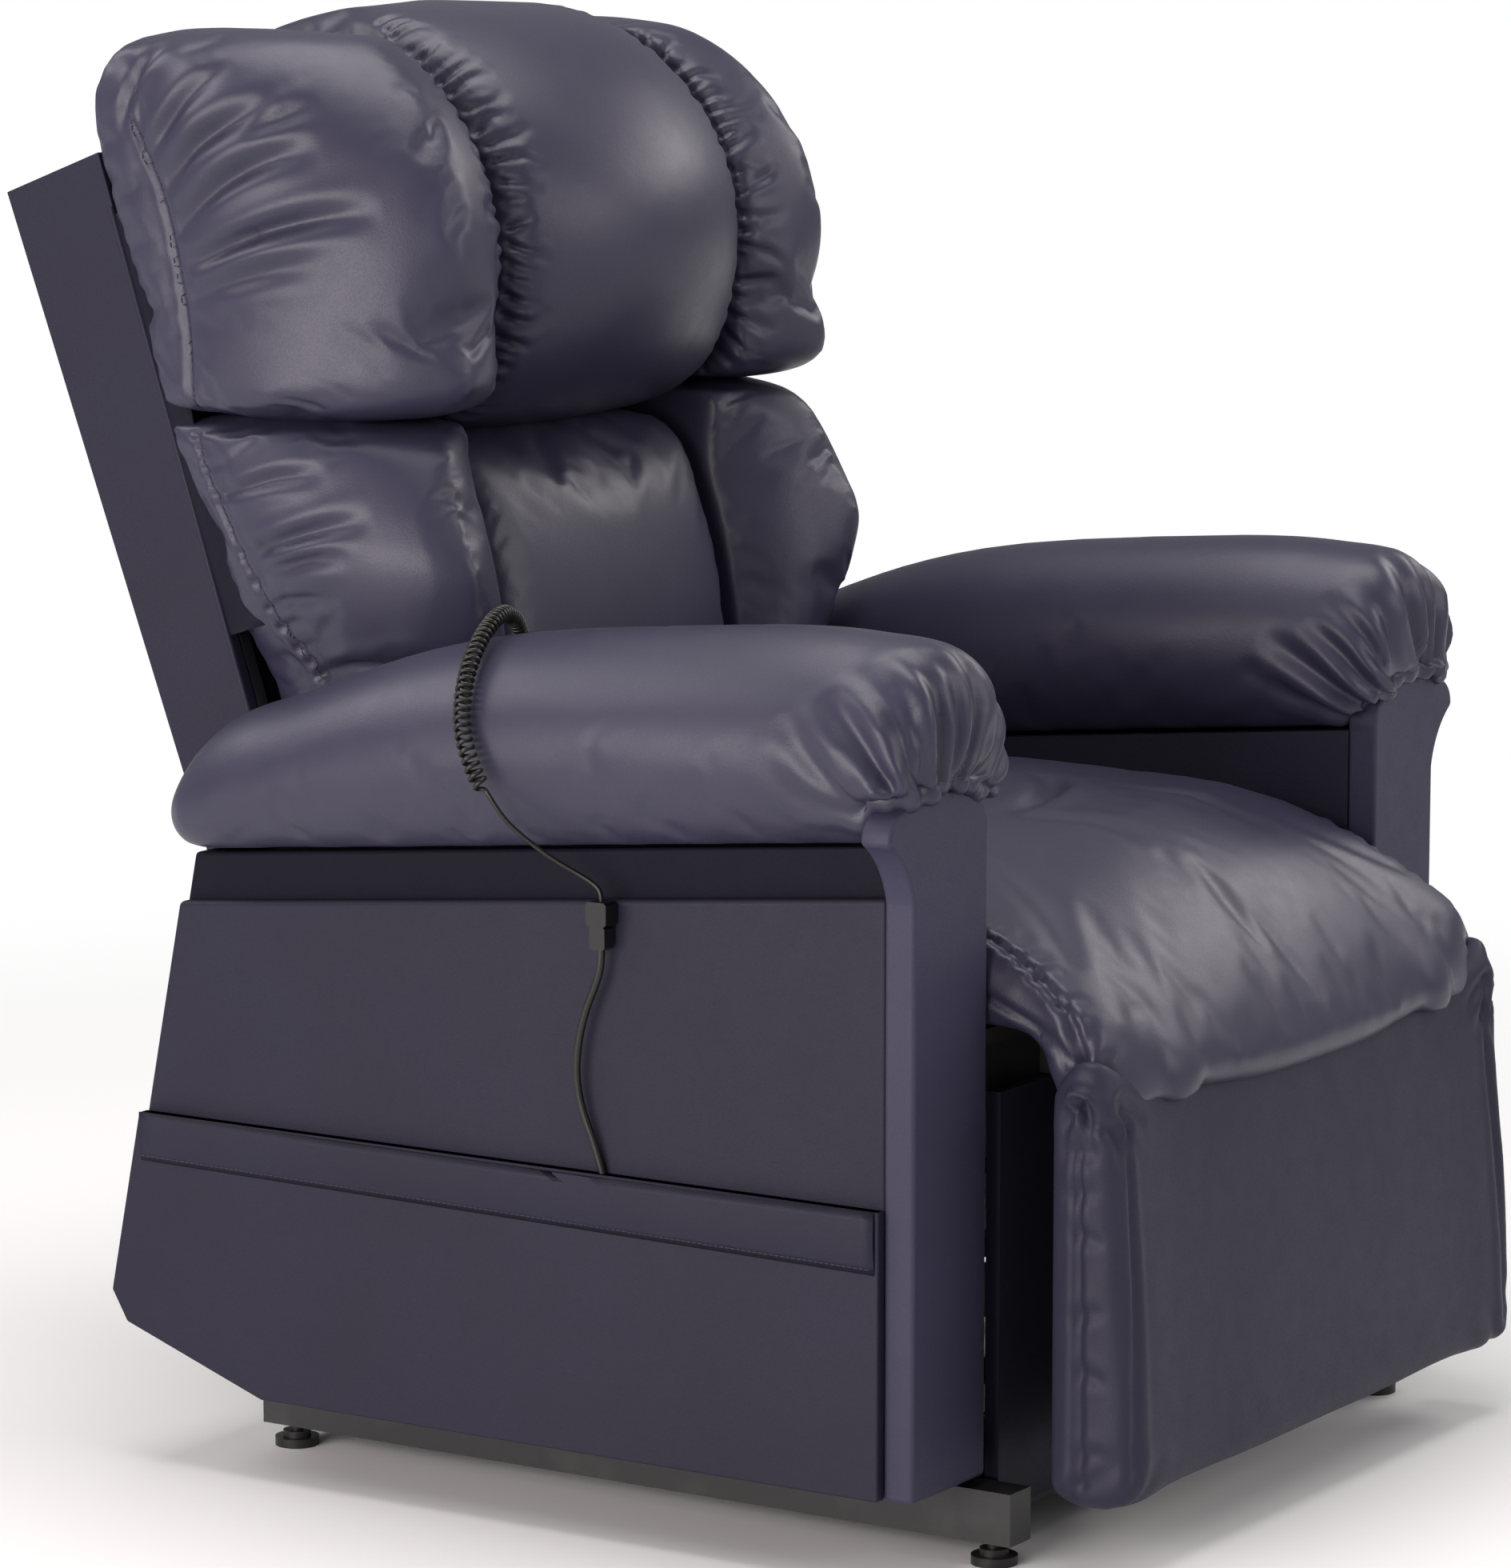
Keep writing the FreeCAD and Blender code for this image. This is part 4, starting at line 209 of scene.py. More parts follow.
def line_of(points, between=24):
    """Closely spaced points along the spline that a route's points make."""
    mesh = spline_mesh("bare_route", points, 0, between)
    spots = [vertex.co.copy() for vertex in mesh.vertices]
    bpy.data.meshes.remove(mesh)
    return spots


def tube(name, points, radius, between=6):
    """A round flexible piece along a smooth spline."""
    mesh = spline_mesh(name, points, radius, between)
    for face in mesh.polygons:
        face.use_smooth = True
    return placed(name, mesh)


lead_route = [
    (-0.26749, -0.015, 0.51177), (-0.26749, 0.004, 0.51177), (-0.268, 0.022, 0.513),
    (-0.271, 0.036, 0.528), (-0.275, 0.043, 0.550), (-0.279, 0.042, 0.577),
    (-0.284, 0.035, 0.609), (-0.294, 0.025, 0.643), (-0.316, 0.015, 0.673),
    (-0.347, 0.005, 0.686), (-0.379, -0.006, 0.684), (-0.410, -0.013, 0.670),
    (-0.437, -0.020, 0.645), (-0.455, -0.029, 0.614), (-0.461, -0.042, 0.587),
    (-0.459, -0.054, 0.564), (-0.452, -0.065, 0.547), (-0.442, -0.079, 0.531),
    (-0.432, -0.097, 0.516), (-0.423, -0.115, 0.505), (-0.420, -0.126, 0.498),
    (-0.420, -0.130, 0.493), (-0.420, -0.130, 0.487),
]
lead_radius = 0.0018
curl_radius = 0.0052
curls_from = 0.062  # length of the plain end at the handset
curls_to = 0.112  # length of the plain end at the connector
plain_lead_in = 0.008
curl_ramp = 0.020
first_pitch = 0.0050
last_pitch = 0.0066
turn_points = 14

lead_line = line_of(lead_route)
reached = [0.0]
for before, after in zip(lead_line, lead_line[1:]):
    reached.append(reached[-1] + (after - before).length)
lead_reach = reached[-1]


def open_share(at):
    """How far the helix has opened at a distance along the lead."""
    share = min(1, max(0, (at - curls_from) / curl_ramp))
    share = min(share, max(0, (lead_reach - curls_to - at) / curl_ramp))
    return share * share * (3 - 2 * share)


helix = list(lead_route[:3])
walk_step = 0.00005
last_way = (lead_line[1] - lead_line[0]).normalized()
spoke = last_way.cross(Vector((1, 0, 0))).normalized()
angle = 0.0
turned = 0.0
index = 0
walked = 0.0
while walked < lead_reach:
    while index < len(reached) - 2 and reached[index + 1] < walked:
        index += 1
    share = (walked - reached[index]) / (reached[index + 1] - reached[index])
    way = (lead_line[index + 1] - lead_line[index]).normalized()
    spoke.rotate(last_way.rotation_difference(way))
    last_way = way
    if curls_from < walked < lead_reach - curls_to:
        opened = open_share(walked)
        run = (walked - curls_from) / (lead_reach - curls_from - curls_to)
        pitch = first_pitch + (last_pitch - first_pitch) * run
        turn = 2 * math.pi * walk_step / pitch * opened * opened
        angle += turn
        turned += turn
        if turned > 2 * math.pi / turn_points:
            turned -= 2 * math.pi / turn_points
            spot = lead_line[index].lerp(lead_line[index + 1], share)
            helix.append(tuple(spot + Quaternion(way, angle) @ spoke * curl_radius * opened))
    walked += walk_step
plain_from = lead_reach - curls_to + plain_lead_in
for place in lead_route:
    nearest = min(range(len(lead_line)), key=lambda at: (lead_line[at] - Vector(place)).length)
    if reached[nearest] > plain_from:
        helix.append(place)

curly_lead = tube("curly_lead", helix, lead_radius, 3)
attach(curly_lead, "chassis")
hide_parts("curly_cord")


def moulded(name, colour, roughness, bump, scale, gloss=0.3):
    """A moulded plastic or rubber: fine sparkle of grain and faint handling marks."""
    material, tree, surface = new_material(name)
    spot = Tone.node(tree, "TexCoord", {}, {}, "Object")
    grain = Tone.node(tree, "TexNoise", {}, {"Vector": spot, "Scale": scale, "Detail": 4.0}, "Fac")
    smear = Tone.node(tree, "TexNoise", {}, {"Vector": spot, "Scale": 28.0, "Detail": 3.0}, "Fac")
    darker = tuple(value * 0.7 for value in colour) + (1,)
    lighter = tuple(value * 1.35 for value in colour) + (1,)
    body = Tone.node(tree, "Mix", {"data_type": "RGBA"}, {0: smear, 6: darker, 7: lighter}, 2)
    tree.links.new(body.socket, surface.inputs["Base Color"])
    rough = roughness + (smear - 0.5) * 0.2
    tree.links.new(rough.socket, surface.inputs["Roughness"])
    lift = Tone.node(tree, "Bump", {}, {"Strength": bump, "Distance": 0.0004, "Height": grain})
    tree.links.new(lift.socket, surface.inputs["Normal"])
    surface.inputs["Specular IOR Level"].default_value = gloss
    return material


cord_jacket = moulded("cord_jacket", (0.008, 0.008, 0.006), 0.34, 0.15, 900.0, 0.35)
curly_lead.data.materials.append(cord_jacket)
line_of(helix, 3)

# The lower lead hangs from the connector's socket to the gland in the mouth of
# the side pocket. It is the thicker cable of the chair's own wiring.
lower_radius = 0.003
lower_route = [
    (-0.420, -0.130, 0.451), (-0.420, -0.130, 0.439), (-0.420, -0.125, 0.424),
    (-0.420, -0.116, 0.405), (-0.420, -0.109, 0.380), (-0.419, -0.106, 0.354),
    (-0.4175, -0.110, 0.329), (-0.4158, -0.119, 0.306), (-0.4145, -0.1245, 0.288),
    (-0.4138, -0.128, 0.273), (-0.4138, -0.128, 0.262),
]
lower_lead = tube("lower_lead", lower_route, lower_radius)
lower_lead.data.materials.append(cord_jacket)
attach(lower_lead, "chassis")
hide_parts("lower_cord")
line_of(lower_route)


# The connector joins the two leads: a socket and a plug with stepped bodies
# and a latch, moulded in black nylon. The gland holds the lower lead's end.
def finish_node(name, material):
    """Gives a CAD node its material."""
    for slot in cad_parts[name].material_slots:
        slot.material = material


black_nylon = moulded("black_nylon", (0.007, 0.007, 0.008), 0.38, 0.2, 1400.0)
for name in ("cord_connector", "cord_gland"):
    finish_node(name, black_nylon)


# The base and the lifting frame are welded steel tube and plate in black
# powder coat, which has a fine orange peel and rubs grey where it is handled.
def coated(name, colour, roughness, metal):
    """A coated or plated steel: a small orange peel, with dust and rubbed places."""
    material, tree, surface = new_material(name)
    spot = Tone.node(tree, "TexCoord", {}, {}, "Object")
    peel = Tone.node(tree, "TexNoise", {}, {"Vector": spot, "Scale": 700.0, "Detail": 2.0}, "Fac")
    rub = Tone.node(tree, "TexNoise", {}, {"Vector": spot, "Scale": 18.0, "Detail": 6.0}, "Fac")
    rubbed = Tone.node(tree, "MapRange", {}, {"Value": rub, "From Min": 0.52, "From Max": 0.75})
    plain = tuple(colour) + (1,)
    greyer = tuple(value * 1.5 + 0.01 for value in colour) + (1,)
    body = Tone.node(tree, "Mix", {"data_type": "RGBA"}, {0: rubbed, 6: plain, 7: greyer}, 2)
    tree.links.new(body.socket, surface.inputs["Base Color"])
    rough = roughness + rubbed * 0.12
    tree.links.new(rough.socket, surface.inputs["Roughness"])
    surface.inputs["Metallic"].default_value = metal
    lift = Tone.node(tree, "Bump", {}, {"Strength": 0.12, "Distance": 0.0005, "Height": peel})
    tree.links.new(lift.socket, surface.inputs["Normal"])
    return material


black_coat = coated("black_coat", (0.012, 0.012, 0.013), 0.42, 0.0)
for name in ("base_rail_right", "base_rail_left", "base_crossbars", "link_ears",
             "chassis_plate_right", "chassis_plate_left", "chassis_bars",
             "back_rails", "back_cross_rails", "footrest_hinge_arms",
             "footrest_hinge_brackets", "lift_motor_bracket"):
    finish_node(name, black_coat)

# The lifting links are thicker plate, cut and welded to their shafts, in a
# smoother dark grey coat.
link_coat = coated("link_coat", (0.022, 0.023, 0.025), 0.36, 0.0)
for name in ("front_links", "rear_links"):
    finish_node(name, link_coat)

# Pins, shafts and the motors' spindles are bright zinc-plated steel, turned
# from bar.
bright_steel = coated("bright_steel", (0.52, 0.52, 0.50), 0.26, 1.0)
for name in ("front_link_shaft", "rear_link_shaft", "chassis_pivot_pins",
             "back_hinge_pins", "lift_rod", "recline_rod", "footrest_rod"):
    finish_node(name, bright_steel)

# The motors, the control box and the rear cover have cases moulded in black
# plastic with a fine texture.
motor_case = moulded("motor_case", (0.018, 0.018, 0.019), 0.45, 0.35, 800.0)
for name in ("lift_motor", "recline_motor", "footrest_motor", "control_box", "rear_cover"):
    finish_node(name, motor_case)

# The levelling feet are black plastic pads on threaded studs, screwed into
# the base.
foot_plastic = moulded("foot_plastic", (0.012, 0.012, 0.012), 0.35, 0.2, 900.0)
finish_node("levelling_feet", foot_plastic)


# The seat deck and the footrest board are plywood, stained dark so that they
# don't show in the gaps between the covers.
def plywood(name):
    """Dark-stained veneer with a long grain."""
    material, tree, surface = new_material(name)
    spot = Tone.node(tree, "TexCoord", {}, {}, "Object")
    long_way = Tone.node(tree, "Mapping", {}, {"Vector": spot, "Scale": (60.0, 4.0, 60.0)})
    grain = Tone.node(tree, "TexNoise", {}, {"Vector": long_way, "Scale": 3.0, "Detail": 8.0,
                                             "Distortion": 0.6}, "Fac")
    body = Tone.node(tree, "Mix", {"data_type": "RGBA"},
                     {0: grain, 6: (0.012, 0.011, 0.010, 1), 7: (0.030, 0.026, 0.022, 1)}, 2)
    tree.links.new(body.socket, surface.inputs["Base Color"])
    tree.links.new((0.55 + grain * 0.2).socket, surface.inputs["Roughness"])
    lift = Tone.node(tree, "Bump", {}, {"Strength": 0.15, "Distance": 0.0005, "Height": grain})
    tree.links.new(lift.socket, surface.inputs["Normal"])
    return material


stained_plywood = plywood("stained_plywood")
for name in ("seat_deck", "footrest_board"):
    finish_node(name, stained_plywood)


# The panels are board covered in vinyl: a navy coated cloth with a fine pebbled grain and a soft
# sheen. Its colour is painted a little lighter and darker in broad patches, as light and shade on the
# slight unevenness of the padding below, and darker in the grain's hollows, as painted shade.
def vinyl(name, colour, roughness, gloss, sheen):
    """Navy upholstery vinyl with a pebbled grain, a soft uneven gloss, painted shade in the grain's
    hollows and painted light and shade in broad patches.
    """
    material, tree, surface = new_material(name)
    spot = Tone.node(tree, "TexCoord", {}, {}, "Object")
    bent = Tone.node(tree, "TexNoise", {}, {"Vector": spot, "Scale": 300.0, "Detail": 2.0}, "Color")
    wavy = Tone.node(tree, "Mix", {"data_type": "VECTOR"}, {0: 0.0016, 4: spot, 5: bent}, 1)
    pebble = Tone.node(tree, "TexVoronoi", {"feature": "F1"},
                       {"Vector": wavy, "Scale": 620.0}, "Distance")
    fine_grain = Tone.node(tree, "TexNoise", {}, {"Vector": spot, "Scale": 1500.0,
                                                  "Detail": 3.0}, "Fac")
    # Painted light and shade: broad patches of lighter and darker colour stand for the padding's
    # slight unevenness.
    cloud = Tone.node(tree, "TexNoise", {}, {"Vector": spot, "Scale": 7.0, "Detail": 5.0}, "Fac")
    blotch = Tone.node(tree, "TexNoise", {}, {"Vector": spot, "Scale": 45.0, "Detail": 4.0}, "Fac")
    darker = tuple(value * 0.82 for value in colour) + (1,)
    lighter = tuple(value * 1.2 for value in colour) + (1,)
    body = Tone.node(tree, "Mix", {"data_type": "RGBA"}, {0: cloud, 6: darker, 7: lighter}, 2)
    # Painted shade: the hollows of the pebbled grain are darkened.
    pore_shade = Tone.node(tree, "MapRange", {}, {"Value": pebble, "From Min": 0.35, "From Max": 0.7,
                                             "To Min": 0.0, "To Max": 0.35})
    body = Tone.node(tree, "Mix", {"data_type": "RGBA"}, {0: pore_shade, 6: body, 7: darker}, 2)
    tree.links.new(body.socket, surface.inputs["Base Color"])
    rough = roughness + (blotch - 0.5) * 0.14 + pore_shade * 0.15
    tree.links.new(rough.socket, surface.inputs["Roughness"])
    height = fine_grain * 0.35 - pebble
    lift = Tone.node(tree, "Bump", {}, {"Strength": 0.14, "Distance": 0.0005, "Height": height})
    tree.links.new(lift.socket, surface.inputs["Normal"])
    surface.inputs["Specular IOR Level"].default_value = gloss
    surface.inputs["Coat Weight"].default_value = sheen
    surface.inputs["Coat Roughness"].default_value = 0.38
    return material


def navy(share):
    """The vinyl's navy, lighter or darker by a share."""
    return tuple(value * share for value in (0.0265, 0.0250, 0.0475))


# Painted shade: the panels' vinyl is the cushions' navy painted much darker, as the shade on their
# upright faces.
shaded_panel_vinyl = vinyl("shaded_panel_vinyl", navy(0.58), 0.5, 0.16, 0.0)
# Painted light: the arm fronts' vinyl is the same navy painted lighter, as the light on their front
# faces.
lit_front_vinyl = vinyl("lit_front_vinyl", navy(1.2), 0.5, 0.2, 0.0)


def merged_copy(name, node):
    """A copy of a CAD node's mesh with its loose triangles joined."""
    build = bmesh.new()
    build.from_mesh(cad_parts[node].data)
    bmesh.ops.remove_doubles(build, verts=build.verts, dist=0.00002)
    return built(name, build)


def wrapped(node, body, edge, material=shaded_panel_vinyl):
    """A panel's vinyl, drawn round its edges and corners, which it rounds."""
    piece = merged_copy(node + "_cover", node)
    build = bmesh.new()
    build.from_mesh(piece.data)
    bmesh.ops.dissolve_limit(build, angle_limit=0.03, verts=build.verts, edges=build.edges)
    corners = [line for line in build.edges if line.is_manifold and line.calc_face_angle(0) > 0.5]
    rounded = bmesh.ops.bevel(build, geom=corners, offset=edge, offset_type="OFFSET", segments=3,
                              profile=0.5, affect="EDGES", material=-1, clamp_overlap=True)
    for face in rounded["faces"]:
        face.smooth = True
    build.to_mesh(piece.data)
    build.free()
    piece.data.materials.clear()
    piece.data.materials.append(material)
    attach(piece, body)
    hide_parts(node)


for name in ("kick_panel", "inner_panel_right", "inner_panel_left"):
    finish_node(name, shaded_panel_vinyl)
for name in ("side_panel_right", "side_panel_left"):
    wrapped(name, "chassis", 0.004)
for name in ("arm_front_right", "arm_front_left"):
    wrapped(name, "chassis", 0.006, material=lit_front_vinyl)

# A recessed band of vinyl runs under each arm's roll, set back from the outer panel. Its colour is
# painted much darker, as the shade under the roll.
shaded_band_vinyl = vinyl("shaded_band_vinyl", navy(0.26), 0.52, 0.06, 0.0)
for name in ("arm_band_right", "arm_band_left"):
    wrapped(name, "chassis", 0.003, shaded_band_vinyl)

# The back's shell is a box of board and foam under the same vinyl. A corded
# welt, a thin roll of vinyl, is sewn along each of its two front edges.
wrapped("back_shell", "back", 0.007)
sides = ((-1, "right"), (1, "left"))
shell_half = 0.3015
shell_lean = 0.334


def shell_front(height):
    """How far back the shell's front edge is at a height."""
    return 0.2305 + shell_lean * (height - 0.430)


welt_stand = 0.0025
for side, name in sides:
    edge = [(side * shell_half, shell_front(height) + welt_stand, height)
            for height in (0.47, 0.60, 0.72, 0.84, 0.93, 0.975)]
    welt = tube("shell_welt_" + name, edge, 0.0024)
    welt.data.materials.append(shaded_panel_vinyl)
    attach(welt, "back")


# Each side has a wide pocket of doubled vinyl. Its top edge is turned over into
# a hem, held by one row of stitches, and stands a little off the panel.
def cloth_strip(name, shape, steps, rows, lowered, body):
    """A strip of doubled vinyl: a grid whose points a function of two shares places."""
    build = bmesh.new()
    bmesh.ops.create_grid(build, x_segments=steps, y_segments=rows, size=0.5)
    for vert in build.verts:
        vert.co = shape(vert.co.x + 0.5, 0.5 - vert.co.y)
    # The faces still have the flat grid's normals, so the second layer goes straight down.
    bmesh.ops.solidify(build, geom=build.faces, thickness=lowered)
    bmesh.ops.recalc_face_normals(build, faces=build.faces)
    for face in build.faces:
        face.smooth = True
    strip = built(name, build)
    strip.data.materials.append(shaded_panel_vinyl)
    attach(strip, body)


pocket_front = -0.3675
pocket_length = 0.6715
pocket_top = 0.2818
pocket_face = 0.4224
hem_low = 0.2355
hem_rise = 0.0085
for side, name in sides:
    def hem_shape(along, down):
        """A point of the hem, which gapes and sags in the middle."""
        low = hem_low + hem_rise * along
        sag = 0.0022 * math.sin(math.pi * along)
        gape = sag + 0.0004 * math.sin(19 * along + 0.8)
        puff = 0.0008 * math.sin(math.pi * down) - 0.0016 * down ** 4
        return (side * (pocket_face + (1 - down) * gape + puff),
                pocket_front + pocket_length * along,
                pocket_top - (pocket_top - low) * down - sag * (1 - down))

    wrapped("side_pocket_" + name, "chassis", 0.002)
    cloth_strip("pocket_hem_" + name, hem_shape, 60, 6, 0.0011, "chassis")

thread = moulded("thread", (0.030, 0.028, 0.045), 0.5, 0.2, 2400.0)
thread_radius = 0.00045


def stitched(name, line, outward, pitch, body):
    """A row of lockstitches along a line: each a short raised bead of thread."""
    build = bmesh.new()
    at = pitch
    gone = 0.0
    for first, second, facing in zip(line, line[1:], outward):
        way = Vector(second) - Vector(first)
        while gone + way.length > at:
            spot = Vector(first) + way.normalized() * (at - gone) + Vector(facing) * 0.0003
            turn = way.to_track_quat("Z", "Y").to_matrix().to_4x4()
            turn.translation = spot
            bmesh.ops.create_cone(build, cap_ends=True, segments=5, radius1=thread_radius,
                                  radius2=thread_radius, depth=pitch * 0.72, matrix=turn)
            at += pitch
        gone += way.length
    row = built(name, build)
    row.data.materials.append(thread)
    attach(row, body)


row_steps = 40
for side, name in sides:
    row = [(side * 0.4212, -0.366 + 0.668 * step / row_steps, 0.2385 + hem_rise * step / row_steps)
           for step in range(row_steps + 1)]
    stitched("hem_stitches_" + name, row, [(side, 0, 0)] * row_steps, 0.0048, "chassis")

# The back is covered by six loose-backed cushions of fibre fill, each sewn from
# vinyl with its ends gathered. Each cover starts slack and swells on its stuffing.
cushion_vinyl = vinyl("cushion_vinyl", navy(1), 0.38, 0.30, 0.1)


def baked(piece):
    """Puts what a piece's modifiers make into its mesh."""
    shape = piece.evaluated_get(bpy.context.evaluated_depsgraph_get())
    mesh = bpy.data.meshes.new_from_object(shape)
    mesh.name = piece.name
    piece.modifiers.clear()
    piece.data = mesh


def evened(piece, voxel, rounds):
    """Gives a piece an even skin of small faces and eases its corners."""
    remesh = piece.modifiers.new("even", "REMESH")
    remesh.mode = "VOXEL"
    remesh.voxel_size = voxel
    baked(piece)
    build = bmesh.new()
    build.from_mesh(piece.data)
    for _ in range(rounds):
        bmesh.ops.smooth_vert(build, verts=build.verts, factor=0.5,
                              use_axis_x=True, use_axis_y=True, use_axis_z=True)
    build.to_mesh(piece.data)
    build.free()


def spots_of(piece):
    """The places of a piece's points, one row each."""
    spots = np.empty(len(piece.data.vertices) * 3)
    piece.data.vertices.foreach_get("co", spots)
    return spots.reshape(-1, 3)


def set_spots(piece, spots):
    """Puts a piece's points at new places."""
    piece.data.vertices.foreach_set("co", spots.ravel())
    piece.data.update()


def facings_of(piece):
    """The outward directions at a piece's points."""
    facings = np.empty(len(piece.data.vertices) * 3)
    piece.data.vertex_normals.foreach_get("vector", facings)
    return facings.reshape(-1, 3)


def sewn_copy(name, node, voxel=0.006, smaller=0.004, rounds=4, plugs=()):
    """A cover before it is stuffed: the node's shape, with slots plugged, even and smaller."""
    piece = merged_copy(name, node)
    build = bmesh.new()
    build.from_mesh(piece.data)
    for spot, size in plugs:
        cube = bmesh.ops.create_cube(build, size=1.0)["verts"]
        bmesh.ops.scale(build, vec=size, verts=cube)
        bmesh.ops.translate(build, vec=spot, verts=cube)
    build.to_mesh(piece.data)
    build.free()
    evened(piece, voxel, rounds)
    set_spots(piece, spots_of(piece) - facings_of(piece) * smaller)
    return piece


def share_near(gap, reach):
    """1 on a line, falling smoothly to 0 at a distance from it."""
    share = np.clip(1 - gap / reach, 0, 1)
    return share * share * (3 - 2 * share)


def along_line(spots, line):
    """Each spot's distance to a line of points, and how far along the line that is."""
    line = np.array(line)
    lengths = np.linalg.norm(np.diff(line, axis=0), axis=1)
    starts = np.concatenate(([0], np.cumsum(lengths)))
    best = np.full(len(spots), 9.0)
    share = np.zeros(len(spots))
    for index, (start, end) in enumerate(zip(line, line[1:])):
        way = end - start
        part = np.clip((spots - start) @ way / (way @ way), 0, 1)
        gap = np.linalg.norm(spots - start - part[:, None] * way, axis=1)
        nearer = gap < best
        best[nearer] = gap[nearer]
        share[nearer] = (starts[index] + part[nearer] * lengths[index]) / starts[-1]
    return best, share


swelling_frames = 20


def stuffed(piece, held, loose, growth, pressure=4.0, cap=0.024):
    """Swells a cover on its stuffing. Held points stay, and loose ones have spare cloth."""
    rest = spots_of(piece)
    for name, weights in (("held", held), ("loose", loose)):
        group = piece.vertex_groups.new(name=name)
        for index in np.nonzero(weights > 0.004)[0]:
            group.add([int(index)], float(min(1, weights[index])), "REPLACE")
    cloth = piece.modifiers.new("stuffing", "CLOTH")
    cover = cloth.settings
    cover.quality = 5
    cover.mass = 0.3
    cover.air_damping = 3
    cover.tension_stiffness = 20
    cover.compression_stiffness = 20
    cover.shear_stiffness = 8
    cover.bending_stiffness = 1.0
    cover.use_pressure = True
    cover.uniform_pressure_force = pressure
    cover.vertex_group_mass = "held"
    cover.vertex_group_shrink = "loose"
    cover.shrink_min = -growth[0]
    cover.shrink_max = -growth[1]
    cover.effector_weights.gravity = 0
    cloth.point_cache.frame_end = swelling_frames
    for number in range(1, swelling_frames + 1):
        bpy.context.scene.frame_set(number)
    swollen = piece.evaluated_get(bpy.context.evaluated_depsgraph_get())
    moved = np.empty(rest.size)
    swollen.data.vertices.foreach_get("co", moved)
    piece.modifiers.clear()
    piece.vertex_groups.clear()
    bpy.context.scene.frame_set(1)
    step = moved.reshape(-1, 3) - rest
    far = np.linalg.norm(step, axis=1)
    step *= np.minimum(1, cap / np.maximum(far, 1e-9))[:, None]
    set_spots(piece, rest + step)


def fine_skin(piece):
    """Divides a cover's faces once, so that folds a few millimetres wide can be laid in it."""
    finer = piece.modifiers.new("finer", "SUBSURF")
    finer.levels = 1
    finer.render_levels = 1
    baked(piece)
    for face in piece.data.polygons:
        face.use_smooth = True


def laid_line(points, steps):
    """A smooth line through a few points."""
    points = [Vector(point) for point in points]
    ends = [points[0] * 2 - points[1]] + points + [points[-1] * 2 - points[-2]]
    line = []
    for first, second, third, fourth in zip(ends, ends[1:], ends[2:], ends[3:]):
        for step in range(steps):
            at = step / steps
            line.append(0.5 * (2 * second + (third - first) * at
                               + (2 * first - 5 * second + 4 * third - fourth) * at ** 2
                               + (3 * second - first - 3 * third + fourth) * at ** 3))
    line.append(points[-1])
    return line


def laid(piece, points, steps=12):
    """A smooth line through a few points, laid on a piece's surface."""
    return [piece.closest_point_on_mesh(spot)[1] for spot in laid_line(points, steps)]


def folded(piece, folds, deepest=0.05):
    """Sinks folds into a cover: each is a line, a depth, a width and how its ends fade."""
    spots = spots_of(piece)
    facings = facings_of(piece)
    sink = np.zeros(len(spots))
    for line, depth, width, ends in folds:
        line = np.array(laid(piece, line, 4))
        low = line.min(axis=0) - 4 * width
        high = line.max(axis=0) + 4 * width
        near = np.nonzero(((spots > low) & (spots < high)).all(axis=1))[0]
        gap, share = along_line(spots[near], line)
        if ends == "seam":
            fade = (1 - share) ** 0.8
        elif ends == "both":
            fade = np.sin(np.pi * np.clip(share, 0, 1)) ** 1.1
        else:
            fade = np.ones(len(share))
        wide = width * (0.7 + 0.5 * share)
        lip = np.exp(-((gap - 2.1 * wide) / (1.1 * wide)) ** 2)
        sink[near] += depth * fade * (np.exp(-(gap / wide) ** 2) - 0.30 * lip)
    set_spots(piece, spots - facings * np.minimum(sink, deepest)[:, None])


def gathers(piece, seam, side, pitch, reach, depth, width, start=0.0, end=1.0):
    """Small pleats that leave a gathered seam on one side, of uneven length and lean."""
    line = laid(piece, seam, 10)
    total = sum((after - before).length for before, after in zip(line, line[1:]))
    folds = []
    at = start * total
    while at < end * total:
        gone = 0
        for first, second in zip(line, line[1:]):
            if gone + (second - first).length >= at:
                break
            gone += (second - first).length
        way = (second - first).normalized()
        spot = first + way * (at - gone)
        facing = piece.closest_point_on_mesh(spot)[2]
        across = facing.cross(way).normalized() * side
        far = reach * chance.uniform(0.45, 1.25)
        lean = way * chance.uniform(-0.35, 0.35)
        bend = way * chance.uniform(-0.12, 0.12) * far
        middle = spot + (across + lean * 0.5) * far * 0.5 + bend
        tip = spot + (across + lean) * far
        folds.append(([spot - across * 0.004, middle, tip], depth * chance.uniform(0.6, 1.2),
                      width * chance.uniform(0.75, 1.25), "seam"))
        at += pitch * chance.uniform(0.6, 1.45)
    return folds


def dressed(piece, node, body, material=cushion_vinyl):
    """Gives a finished cover its vinyl, and puts it on the body of the node it stands for."""
    piece.data.materials.clear()
    piece.data.materials.append(material)
    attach(piece, body)
    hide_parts(node)


def on_side(line, side):
    """A line that is given for the right side, on the side that is wanted."""
    return [(x * -side, y, z) for x, y, z in line]


